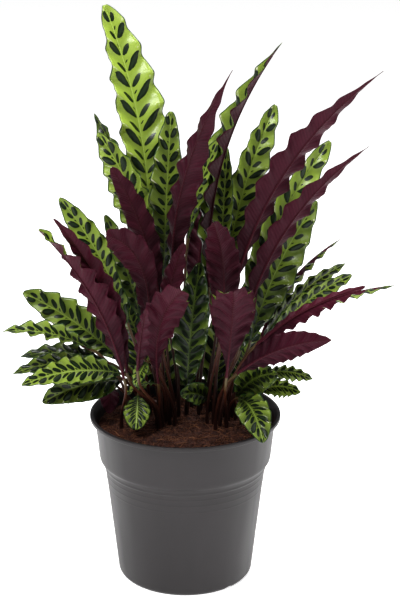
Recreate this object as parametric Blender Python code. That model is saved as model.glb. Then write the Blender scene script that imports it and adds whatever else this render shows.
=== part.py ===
"""Potted calathea: a tapered nursery pot, its potting mix and fifty-seven wavy lance-shaped leaves.

Metres, +Z up. The origin is the centre of the flat foot that the pot stands on, and -Y is the front,
where the potting mix is bare. Each leaf is one closed solid: a petiole that stands in a plain hole in
the mix, and a waved blade with a midrib that ends in a point.
"""

import math
from typing import NamedTuple

import bmesh
import bpy
import numpy as np

MM = 0.001

# Pot, in millimetres
POT_SIDES = 32
RIM_R = 105.0
POT_HEIGHT = 188.0
WALL = 1.6
COLLAR_TOP_R = 99.5
COLLAR_LOW_R = 95.0
COLLAR_LOW_Z = 138.2
BODY_TOP_R = 89.0
BODY_TOP_Z = 125.0
FOOT_R = 74.9
FLOOR = 2.0
CHANNEL = (26.0, 60.0, 3.0)
DRAIN_HOLES = 8
DRAIN_R = 5.5
DRAIN_RING_R = 43.0
NOTCHES = 3
NOTCH_R = 7.5
NOTCH_DROP = 2.6
NOTCH_FROM_FRONT = 40.8

# Potting mix, in millimetres
GAP = 0.35
SOIL_EDGE_Z = 171.0
SOIL_TOP_Z = 176.8
SOIL_FLOOR_Z = 5.4

# Leaves, in millimetres
STEM_Z = 178.0
STEM_FOOT_Z = 152.0
STEM_R = 2.1
HEEL_R = 1.6
BLADE = 1.0
WAVE = 0.13
WAVED_WIDTH = 44.0
WAVE_SLANT = 0.04
SCALLOP = 0.09
LONG_STEM_STEPS = (0.35, 0.7, 0.92)
SHORT_STEM_STEPS = (0.5, 0.88)
SHORT_STEM = 70.0

UP = np.array([0.0, 0.0, 1.0])
FACING = np.array([0.0, -0.94, 0.34])
FACING = FACING / np.linalg.norm(FACING)


class Leaf(NamedTuple):
    """One leaf in millimetres and degrees.

    turn is the way that the upper face looks, 0 to the front and 180 to the back; arch and sway bow
    the midrib up and sideways; waves counts the ripples of each margin; twist is added towards the
    tip; point is how slender the tip is, fold how far the halves are raised and belly how far the
    widest place lies towards the tip.
    """

    name: str
    root: tuple
    heel: tuple
    tip: tuple
    width: float
    turn: float
    arch: float
    waves: int
    twist: float = 0.0
    sway: float = 0.0
    point: float = 0.6
    fold: float = 12.0
    belly: float = 1.0


LEAVES = (
    Leaf("leaf_crown_1", (-22, 35), (-39, 46, 346), (-89, 120, 618), 62, 24, 6, 9, sway=-14, point=0.5, fold=24),
    Leaf("leaf_crown_2", (-8, 43), (-24, 44, 328), (-15, 58, 512), 36, -10, 6, 8, sway=-3, point=0.5),
    Leaf("leaf_crown_3", (-23, 11), (-38, 0, 356), (-93, 30, 494), 42, -22, 12, 8, fold=20),
    Leaf("leaf_crown_4", (-24, 26), (-39, 25, 363), (-99, 72, 507), 36, -38, 8, 8, point=0.9, fold=26),
    Leaf("leaf_crown_5", (-7, 11), (-12, 2, 325), (46, -109, 584), 34, 150, 6, 9, sway=-19, point=1.4, fold=26),
    Leaf("leaf_crown_6", (15, 18), (25, 14, 324), (99, -17, 597), 42, -74, 26, 9, twist=10, point=1.1, fold=38),
    Leaf("leaf_crown_7", (7, 42), (12, 50, 301), (27, 95, 420), 35, 175, 8, 8),
    Leaf("leaf_crown_8", (2, 24), (3, 22, 378), (39, 0, 500), 24, -35, 6, 7, point=0.8),
    Leaf("leaf_crown_9", (34, 26), (40, 31, 347), (46, 42, 475), 24, -20, 3, 7, point=0.8),
    Leaf("leaf_crown_10", (28, 30), (43, 41, 327), (99, 85, 514), 40, 20, 10, 8, point=0.5, fold=20),
    Leaf("leaf_right_1", (40, 21), (60, 17, 279), (157, 55, 480), 42, 20, 14, 8, point=0.5, fold=20),
    Leaf("leaf_right_2", (44, 15), (71, 5, 267), (141, 17, 423), 44, 12, 8, 7, point=0.65, fold=18),
    Leaf("leaf_right_3", (31, -8), (47, -30, 320), (191, -110, 583), 37, -140, 28, 10, point=1.6, fold=18),
    Leaf("leaf_right_4", (37, -2), (60, -20, 280), (184, -75, 502), 30, -140, 24, 9, point=1.35, fold=18),
    Leaf("leaf_right_5", (51, 14), (85, 27, 264), (171, 31, 378), 20, 75, 14, 8, point=1.1, fold=25),
    Leaf("leaf_right_6", (61, 16), (84, 11, 267), (175, 31, 349), 26, 40, 10, 8, point=0.7),
    Leaf("leaf_right_7", (56, 9), (87, 3, 267), (180, 8, 343), 26, 30, 8, 8, point=0.5),
    Leaf("leaf_right_8", (38, -14), (76, -18, 268), (216, -73, 356), 24, 120, 14, 10, twist=-65, point=0.9, fold=26),
    Leaf("leaf_right_9", (48, 7), (77, -10, 269), (191, -25, 340), 17, 150, 8, 8, point=0.55, fold=20),
    Leaf("leaf_right_10", (33, -25), (54, -58, 253), (148, -115, 311), 33, 188, 9, 10, point=0.8, fold=24),
    Leaf("leaf_right_11", (62, -5), (56, -6, 207), (97, -71, 258), 34, 15, 8, 6, point=0.5),
    Leaf("leaf_right_12", (69, 11), (78, 0, 208), (124, -40, 226), 26, 40, 8, 7),
    Leaf("leaf_right_13", (53, 23), (85, 20, 224), (140, 0, 226), 22, 45, 6, 7),
    Leaf("leaf_right_14", (45, -2), (57, -20, 211), (82, -92, 189), 36, -5, 14, 7, belly=1.2),
    Leaf("leaf_left_1", (-16, 10), (-27, -6, 319), (-75, -57, 476), 28, 165, 10, 7, point=0.5),
    Leaf("leaf_left_2", (-11, -14), (-37, -42, 284), (-78, -122, 422), 34, 172, 32, 7, point=0.5, belly=1.5),
    Leaf("leaf_left_3", (-31, -10), (-61, -45, 248), (-133, -84, 430), 26, 150, 15, 9, point=0.8, fold=16),
    Leaf("leaf_left_4", (-70, -16), (-64, -55, 245), (-149, -78, 416), 38, 160, 14, 9, twist=-95, point=0.4, fold=20, belly=1.2),
    Leaf("leaf_left_5", (-39, 20), (-62, 8, 286), (-134, 10, 428), 37, -8, 8, 8, fold=20),
    Leaf("leaf_left_6", (-29, 6), (-47, -5, 290), (-83, -44, 423), 24, 20, 4, 6, point=0.5),
    Leaf("leaf_left_7", (-45, 37), (-70, 32, 234), (-177, 18, 320), 42, 20, 6, 7, point=0.55),
    Leaf("leaf_left_8", (-61, 0), (-101, -8, 263), (-193, -45, 296), 28, 50, 8, 6, point=0.8, fold=20),
    Leaf("leaf_left_9", (-49, 29), (-86, 29, 235), (-184, 32, 240), 23, 35, 8, 6, point=0.8),
    Leaf("leaf_left_10", (-50, 16), (-80, -8, 235), (-189, -4, 233), 26, 30, 12, 7, point=0.9),
    Leaf("leaf_left_11", (-45, -7), (-70, -9, 236), (-175, -47, 236), 34, 25, 9, 8, point=0.7, belly=0.8),
    Leaf("leaf_left_12", (-43, 12), (-69, 5, 224), (-156, -15, 204), 40, 10, 6, 6, belly=0.75),
    Leaf("leaf_left_13", (-57, 26), (-82, 25, 209), (-84, -5, 187), 22, 180, 6, 5),
    Leaf("leaf_front_1", (-29, -18), (-29, -35, 233), (-3, -127, 367), 40, 196, 14, 8, sway=-8, point=0.4, belly=1.5),
    Leaf("leaf_front_2", (-17, -9), (-35, -27, 286), (-48, -47, 365), 24, 165, 4, 6),
    Leaf("leaf_front_3", (-27, -24), (-49, -81, 264), (-39, -101, 340), 20, 140, 3, 6),
    Leaf("leaf_front_4", (-11, -4), (-24, -24, 285), (-1, -48, 394), 24, 160, 5, 6),
    Leaf("leaf_front_5", (45, -17), (43, -69, 251), (48, -127, 366), 48, 180, 18, 8, sway=4, point=0.35, belly=1.6),
    Leaf("leaf_front_6", (24, -9), (39, -34, 296), (28, -95, 428), 36, 175, 14, 8, sway=4, point=0.5),
    Leaf("leaf_front_7", (1, 17), (2, -10, 215), (16, 8, 357), 40, -10, 4, 8),
    Leaf("leaf_front_8", (17, 36), (26, 6, 199), (-5, -33, 219), 26, 0, 5, 5, point=0.5),
    Leaf("leaf_front_9", (-30, -4), (-51, -28, 218), (-53, -52, 187), 30, 0, 0, 6, point=0.5),
    Leaf("leaf_front_10", (-21, -1), (-32, -7, 223), (-66, -32, 217), 18, 70, 4, 5),
    Leaf("leaf_front_11", (-25, -12), (-41, -35, 258), (-52, -67, 242), 17, 20, 4, 6, point=0.5),
    Leaf("leaf_rear_1", (25, 45), (41, 55, 293), (69, 130, 409), 38, 0, 10, 8),
    Leaf("leaf_rear_2", (-21, 43), (-48, 39, 243), (-99, 100, 330), 28, 5, 10, 7),
    Leaf("leaf_rear_3", (38, 35), (61, 45, 241), (122, 115, 326), 34, 0, 10, 7),
    Leaf("leaf_rear_4", (11, 48), (18, 60, 244), (14, 150, 372), 34, 0, 12, 8),
    Leaf("leaf_rear_5", (-16, 49), (-25, 62, 184), (-41, 118, 252), 44, 0, 14, 6, belly=0.8),
    Leaf("leaf_rear_6", (22, 52), (35, 66, 183), (48, 128, 266), 44, 0, 12, 6, belly=0.8),
    Leaf("leaf_rear_7", (38, 42), (62, 48, 197), (80, 110, 250), 46, 5, 10, 6, belly=0.8),
    Leaf("leaf_rear_8", (-28, 33), (-49, 51, 191), (-66, 104, 281), 44, -5, 10, 6, belly=0.8),
    Leaf("leaf_rear_9", (3, 59), (4, 78, 178), (3, 140, 250), 44, 0, 12, 6, belly=0.8),
)


def unit(v):
    """v at length 1, row by row."""
    return v / np.maximum(np.linalg.norm(v, axis=-1, keepdims=True), 1e-12)


def cubic(a, b, c, d, t):
    """Points and unit tangents of a cubic Bezier curve at t."""
    t = np.asarray(t, float)[:, None]
    s = 1 - t
    at = s**3 * a + 3 * s * s * t * b + 3 * s * t * t * c + t**3 * d
    return at, unit(3 * s * s * (b - a) + 6 * s * t * (c - b) + 3 * t * t * (d - c))


def quadratic(a, b, c, t):
    """Points and unit tangents of a quadratic Bezier curve at t."""
    t = np.asarray(t, float)[:, None]
    s = 1 - t
    return s * s * a + 2 * s * t * b + t * t * c, unit(2 * s * (b - a) + 2 * t * (c - b))


def guides(leaf):
    """The control points of the petiole (cubic) and of the midrib (quadratic)."""
    root = np.array([*leaf.root, STEM_Z])
    heel = np.array(leaf.heel, float)
    tip = np.array(leaf.tip, float)
    along = unit(tip - heel)
    lift = unit(UP - along * (UP @ along))
    aside = np.cross(lift, along)
    bow = (heel + tip) / 2 + 2 * leaf.arch * lift + 2 * leaf.sway * aside
    reach = np.linalg.norm(heel - root)
    stem = (root, root + UP * reach * 0.4, heel - unit(bow - heel) * reach * 0.3, heel)
    return stem, (heel, bow, tip)


def blade_axes(leaf, along, t):
    """The upper face's normal and the way to the margin at each station of the midrib."""
    front = unit(FACING - along * (along @ FACING)[:, None])
    right = np.cross(along, front)
    angle = np.radians(leaf.turn + leaf.twist * t * t)[:, None]
    normal = front * np.cos(angle) + right * np.sin(angle)
    return normal, np.cross(normal, along)


def half_share(leaf, t):
    """The half width at t as a share of the greatest."""
    return np.sin(np.pi * t**leaf.belly) ** (1 + (leaf.point - 1) * t)


def margin(leaf, mid, normal, aside, t, side):
    """The waved edge of one half, side 1 or -1."""
    share = half_share(leaf, t)
    phase = 0.0 if side < 0 else 0.5
    swing = np.cos(2 * np.pi * (leaf.waves * (t - WAVE_SLANT) + phase))
    half = leaf.width / 2 * share * (1 + SCALLOP * swing)
    half = np.maximum(half, np.where(t < 0.5, HEEL_R, 0))
    wave = WAVE * min(leaf.width, WAVED_WIDTH) * share * swing
    raised = math.radians(leaf.fold)
    out = side * (half * math.cos(raised) - wave * math.sin(raised))
    up = half * math.sin(raised) + wave * math.cos(raised)
    return mid + aside * out[:, None] + normal * up[:, None]


def carried_axes(along, normal):
    """Normals carried back down a curve from its last point with no spin about it."""
    found = [normal]
    for k in range(len(along) - 2, -1, -1):
        kept = found[-1] - along[k] * (found[-1] @ along[k])
        found.append(unit(kept))
    return np.array(found[::-1])


def hexagon(centre, normal, aside, radius):
    """Six points round a stem: upper left, top, upper right, lower right, bottom, lower left."""
    turns = np.radians([150, 90, 30, -30, -90, -150])
    return [centre + radius * (aside * math.cos(a) + normal * math.sin(a)) for a in turns]


def leaf_rings(leaf):
    """The six-sided sections of a leaf from the foot of its petiole up, and its tip."""
    stem, midrib = guides(leaf)
    t = WAVE_SLANT + np.arange(2 * leaf.waves) / (2 * leaf.waves)
    mid, along = quadratic(*midrib, t)
    normal, aside = blade_axes(leaf, along, t)
    left = margin(leaf, mid, normal, aside, t, -1)
    right = margin(leaf, mid, normal, aside, t, 1)

    _, first = quadratic(*midrib, np.array([0.0]))
    heel_normal, _ = blade_axes(leaf, first, np.array([0.0]))
    length = np.linalg.norm(stem[3] - stem[0])
    between = LONG_STEM_STEPS if length > SHORT_STEM else SHORT_STEM_STEPS
    steps = np.array([0.0, *between, 1.0])
    centres, ways = cubic(*stem, steps)
    normals = carried_axes(ways, heel_normal[0])
    radii = STEM_R + (HEEL_R - STEM_R) * steps
    rings = []
    for centre, way, up, radius in zip(centres, ways, normals, radii):
        rings.append(hexagon(centre, up, np.cross(up, way), radius))
    foot = [point + UP * (STEM_FOOT_Z - STEM_Z) for point in rings[0]]
    rings.insert(0, foot)

    top = normal * (BLADE / 2)
    rib = normal * (HEEL_R + (0.6 - HEEL_R) * t)[:, None]
    for k in range(len(t)):
        rings.append([
            left[k] + top[k],
            mid[k] + top[k],
            right[k] + top[k],
            right[k] - top[k],
            mid[k] - rib[k],
            left[k] - top[k],
        ])
    return rings, midrib[2]


def finish_mesh(bm, name, materials):
    """The bmesh as a linked object with its materials, faces outwards."""
    bmesh.ops.recalc_face_normals(bm, faces=bm.faces)
    mesh = bpy.data.meshes.new(name)
    bm.to_mesh(mesh)
    bm.free()
    for material in materials:
        mesh.materials.append(material)
    obj = bpy.data.objects.new(name, mesh)
    bpy.context.scene.collection.objects.link(obj)
    return obj


def make_leaf(leaf, materials, parent):
    """One leaf, its object at the place where the petiole leaves the mix."""
    rings, tip = leaf_rings(leaf)
    at = np.array([*leaf.root, STEM_Z])
    bm = bmesh.new()
    rows = [[bm.verts.new((point - at) * MM) for point in ring] for ring in rings]
    bm.faces.new(rows[0])
    for low, high in zip(rows, rows[1:]):
        for j in range(6):
            a, b = low[j], low[(j + 1) % 6]
            d, c = high[j], high[(j + 1) % 6]
            # Both faces of a half are split along the same line, so that the blade keeps its thickness.
            pairs = ((a, b, d), (b, c, d)) if j in (0, 3) else ((a, b, c), (a, c, d))
            for corners in pairs:
                bm.faces.new(corners).material_index = 0 if j in (0, 1) else 1
    peak = bm.verts.new((tip - at) * MM)
    for j in range(6):
        bm.faces.new((rows[-1][j], rows[-1][(j + 1) % 6], peak)).material_index = 0 if j in (0, 1) else 1
    obj = finish_mesh(bm, leaf.name, materials)
    obj.location = at * MM
    obj.parent = parent
    return obj


def turned(points, name, materials):
    """A closed solid turned round Z from (radius, height) points that run from axis to axis."""
    bm = bmesh.new()
    line = [bm.verts.new((r * MM, 0, z * MM)) for r, z in points]
    edges = [bm.edges.new(pair) for pair in zip(line, line[1:])]
    bmesh.ops.spin(
        bm,
        geom=line + edges,
        cent=(0, 0, 0),
        axis=(0, 0, 1),
        angle=2 * math.pi,
        steps=POT_SIDES,
        use_merge=True,
    )
    bmesh.ops.remove_doubles(bm, verts=bm.verts, dist=1e-6)
    return finish_mesh(bm, name, materials)


def prism(bm, low, high):
    """A closed prism between two rings of points in millimetres."""
    under = [bm.verts.new(point * MM) for point in low]
    over = [bm.verts.new(point * MM) for point in high]
    bm.faces.new(under)
    bm.faces.new(over)
    count = len(low)
    for j in range(count):
        bm.faces.new((under[j], under[(j + 1) % count], over[(j + 1) % count], over[j]))


def circle(centre, first, second, radius, count):
    """count points round centre in the plane of first and second."""
    turns = [2 * math.pi * k / count for k in range(count)]
    return [centre + radius * (first * math.cos(a) + second * math.sin(a)) for a in turns]


def cut(target, bm, name):
    """Cuts the prisms in bm out of target with one Boolean."""
    cutter = finish_mesh(bm, name, [])
    cutter.hide_render = True
    cutter.display_type = "WIRE"
    boolean = target.modifiers.new(name, "BOOLEAN")
    boolean.operation = "DIFFERENCE"
    boolean.solver = "EXACT"
    boolean.object = cutter
    return cutter


def pot_profile():
    """Outside from the axis out and up to the rim, then inside back down to the axis."""
    inner, outer, rise = CHANNEL
    outside = [
        (0, 0),
        (inner - 2, 0),
        (inner + 1, rise),
        (outer, rise),
        (outer + 3, 0),
        (FOOT_R - 2.4, 0),
        (FOOT_R, 3.2),
        (BODY_TOP_R, BODY_TOP_Z),
        (BODY_TOP_R + 2.8, 133.5),
        (COLLAR_LOW_R - 0.4, COLLAR_LOW_Z - 1.2),
        (COLLAR_TOP_R, 182.2),
        (RIM_R, 183.6),
        (RIM_R, 187.2),
        (RIM_R - 1.0, POT_HEIGHT),
    ]
    return outside + inside_wall() + [
        (outer + 3.6, FLOOR),
        (outer + 0.6, rise + FLOOR),
        (inner + 0.6, rise + FLOOR),
        (inner - 2.4, FLOOR),
        (0, FLOOR),
    ]


def inside_wall():
    """The inner wall from the rim down to the floor."""
    return [
        (RIM_R - 3.4, POT_HEIGHT),
        (COLLAR_TOP_R - WALL, 181.4),
        (COLLAR_LOW_R - 2.0, COLLAR_LOW_Z),
        (BODY_TOP_R + 1.2, 135.0),
        (BODY_TOP_R - WALL, BODY_TOP_Z),
        (FOOT_R - 1.7, 4.6),
        (FOOT_R - 2.5, FLOOR),
    ]


def wall_radius(z):
    """The inner radius of the pot at height z."""
    points = inside_wall()[::-1]
    return float(np.interp(z, [p[1] for p in points], [p[0] for p in points]))


def make_pot(materials, parent):
    """The pot with its round drain holes in the raised channel and three arched slots at the foot."""
    pot = turned(pot_profile(), "pot", materials)
    holes = bmesh.new()
    x, y = np.eye(3)[:2]
    for k in range(DRAIN_HOLES):
        a = 2 * math.pi * (k + 0.5) / DRAIN_HOLES
        centre = DRAIN_RING_R * np.array([math.cos(a), math.sin(a), 0.0])
        prism(holes, circle(centre - UP * 4, x, y, DRAIN_R, 10), circle(centre + UP * 12, x, y, DRAIN_R, 10))
    for k in range(NOTCHES):
        a = math.radians(NOTCH_FROM_FRONT - 90 + 360 / NOTCHES * k)
        out = np.array([math.cos(a), math.sin(a), 0.0])
        aside = np.cross(UP, out)
        low = circle(out * 67 - UP * NOTCH_DROP, aside, UP, NOTCH_R, 14)
        prism(holes, low, [point + out * 20 for point in low])
    cutter = cut(pot, holes, "drain_cutter")
    cutter.parent = parent
    pot.parent = parent
    pot.data.shade_smooth()
    pot.data.set_sharp_from_angle(angle=math.radians(35))
    return pot


def make_soil(materials, parent):
    """The potting mix: a plug that fills the pot, gently domed, with a hole for each petiole."""
    levels = (SOIL_FLOOR_Z, BODY_TOP_Z, 135.0, COLLAR_LOW_Z, SOIL_EDGE_Z)
    sides = [(wall_radius(z) - GAP, z) for z in levels]
    edge = sides[-1][0]
    top = [(edge * 0.86, 173.4), (edge * 0.5, 175.8), (0, SOIL_TOP_Z)]
    soil = turned([(0, SOIL_FLOOR_Z)] + sides + top, "soil", materials)
    holes = bmesh.new()
    for leaf in LEAVES:
        rings, _ = leaf_rings(leaf)
        axis = np.array([*leaf.root, 0.0])
        flat = np.array([1.0, 1.0, 0.0])
        wide = [axis + (point * flat - axis) * (1 + (GAP + 0.1) / STEM_R) for point in rings[0]]
        low = [point + UP * (STEM_FOOT_Z - GAP) for point in wide]
        high = [point + UP * 186.0 for point in wide]
        prism(holes, low, high)
    cutter = cut(soil, holes, "stem_cutter")
    cutter.parent = parent
    soil.parent = parent
    soil.data.shade_smooth()
    soil.data.set_sharp_from_angle(angle=math.radians(35))
    return soil


def principled(name, colour, roughness):
    """A Principled material of one colour, given as linear red, green and blue."""
    material = bpy.data.materials.new(name)
    material.use_nodes = True
    shader = material.node_tree.nodes["Principled BSDF"]
    shader.inputs["Base Color"].default_value = (*colour, 1.0)
    shader.inputs["Roughness"].default_value = roughness
    shader.inputs["Metallic"].default_value = 0.0
    return material


def main():
    """Builds the pot, the mix and the leaves under one empty."""
    for obj in list(bpy.data.objects):
        bpy.data.objects.remove(obj)
    plant = bpy.data.objects.new("potted_calathea", None)
    bpy.context.scene.collection.objects.link(plant)
    make_pot([principled("pot_plastic", (0.068, 0.064, 0.070), 0.45)], plant)
    make_soil([principled("potting_soil", (0.035, 0.014, 0.011), 0.95)], plant)
    upper = principled("leaf_upper", (0.22, 0.40, 0.05), 0.35)
    under = principled("leaf_underside", (0.060, 0.014, 0.022), 0.5)
    for leaf in LEAVES:
        make_leaf(leaf, [upper, under], plant)


main()
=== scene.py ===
"""Potted calathea, dressed: waved patterned leaves, fibrous potting mix and a moulded nursery pot.

Lengths in the tables are millimetres and angles are degrees; meshes are metres. The origin is the
centre of the pot's foot, +Z is up and -Y is the front.
"""

import logging
import math
from collections.abc import Mapping, Sequence
from dataclasses import dataclass
from enum import Enum

import bmesh
import bpy
import numpy as np
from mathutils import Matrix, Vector


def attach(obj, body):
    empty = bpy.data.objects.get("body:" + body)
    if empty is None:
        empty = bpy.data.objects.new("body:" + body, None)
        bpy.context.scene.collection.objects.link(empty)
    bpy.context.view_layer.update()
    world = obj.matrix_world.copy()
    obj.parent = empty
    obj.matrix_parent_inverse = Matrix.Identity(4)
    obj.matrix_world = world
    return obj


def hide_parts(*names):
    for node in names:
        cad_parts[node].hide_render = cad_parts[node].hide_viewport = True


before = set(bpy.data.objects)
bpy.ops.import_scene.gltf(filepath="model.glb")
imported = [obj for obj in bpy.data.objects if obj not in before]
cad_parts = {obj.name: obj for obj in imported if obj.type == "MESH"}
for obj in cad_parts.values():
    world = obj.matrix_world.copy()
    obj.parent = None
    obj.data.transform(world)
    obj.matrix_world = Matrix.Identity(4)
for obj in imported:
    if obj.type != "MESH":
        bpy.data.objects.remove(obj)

LOG = logging.getLogger("calathea")
MM = 0.001
# Square centimetres in a square metre.
CM2_A_M2 = 1e4
SEED = 11

UP = np.array([0.0, 0.0, 1.0])
# Where the upper face of a leaf with no turn looks: to the front and a little up.
FACING = np.array([0.0, -0.94, 0.34])
FACING = FACING / np.linalg.norm(FACING)

# Both halves of a blade wave by turns, so one runs half a wave behind the other.
HALF_WAVE = 0.5

# A full turn in radians.
FULL_TURN = 6.28318

# Blender's names of the types of node that are used most.
MATH = "ShaderNodeMath"
VECTOR = "ShaderNodeVectorMath"
NOISE = "ShaderNodeTexNoise"
RANGE = "ShaderNodeMapRange"
MIX = "ShaderNodeMix"
BUMP = "ShaderNodeBump"
ATTRIBUTE = "ShaderNodeAttribute"
RANDOM = "FunctionNodeRandomValue"
MIDDLE_GREY = (0.5, 0.5, 0.5)


class Face(Enum):
    """The finishes on a leaf, in the order of its material slots."""

    UPPER = 0
    UNDERSIDE = 1
    PETIOLE = 2


class Strewn(Enum):
    """What lies loose on the potting mix, by the name of its piece."""

    CRUMBS = "peat_crumbs"
    FIBRES = "coir_fibres"


@dataclass(frozen=True)
class Leaf:
    """One leaf, in millimetres and degrees.

    turn is the way that the upper face looks, 0 to the front and 180 to the back; arch and sway bow
    the midrib up and sideways; waves counts the ripples of each margin; tone is painted light and
    shade, how light the leaf is drawn, from one in deep shade at 0 to one in full light at 1; twist
    is added towards the tip; point is how slender the tip is, fold how far the halves are raised and
    belly how far the widest place lies towards the tip.
    """

    name: str
    root: tuple[float, float]
    heel: tuple[float, float, float]
    tip: tuple[float, float, float]
    width: float
    turn: float
    arch: float
    waves: int
    tone: float
    twist: float = 0.0
    sway: float = 0.0
    point: float = 0.6
    fold: float = 12.0
    belly: float = 1.0

    @property
    def seed(self) -> int:
        """A number of the leaf's own, from its name."""
        return sum(ord(c) * (k + 3) for k, c in enumerate(self.name))


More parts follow.
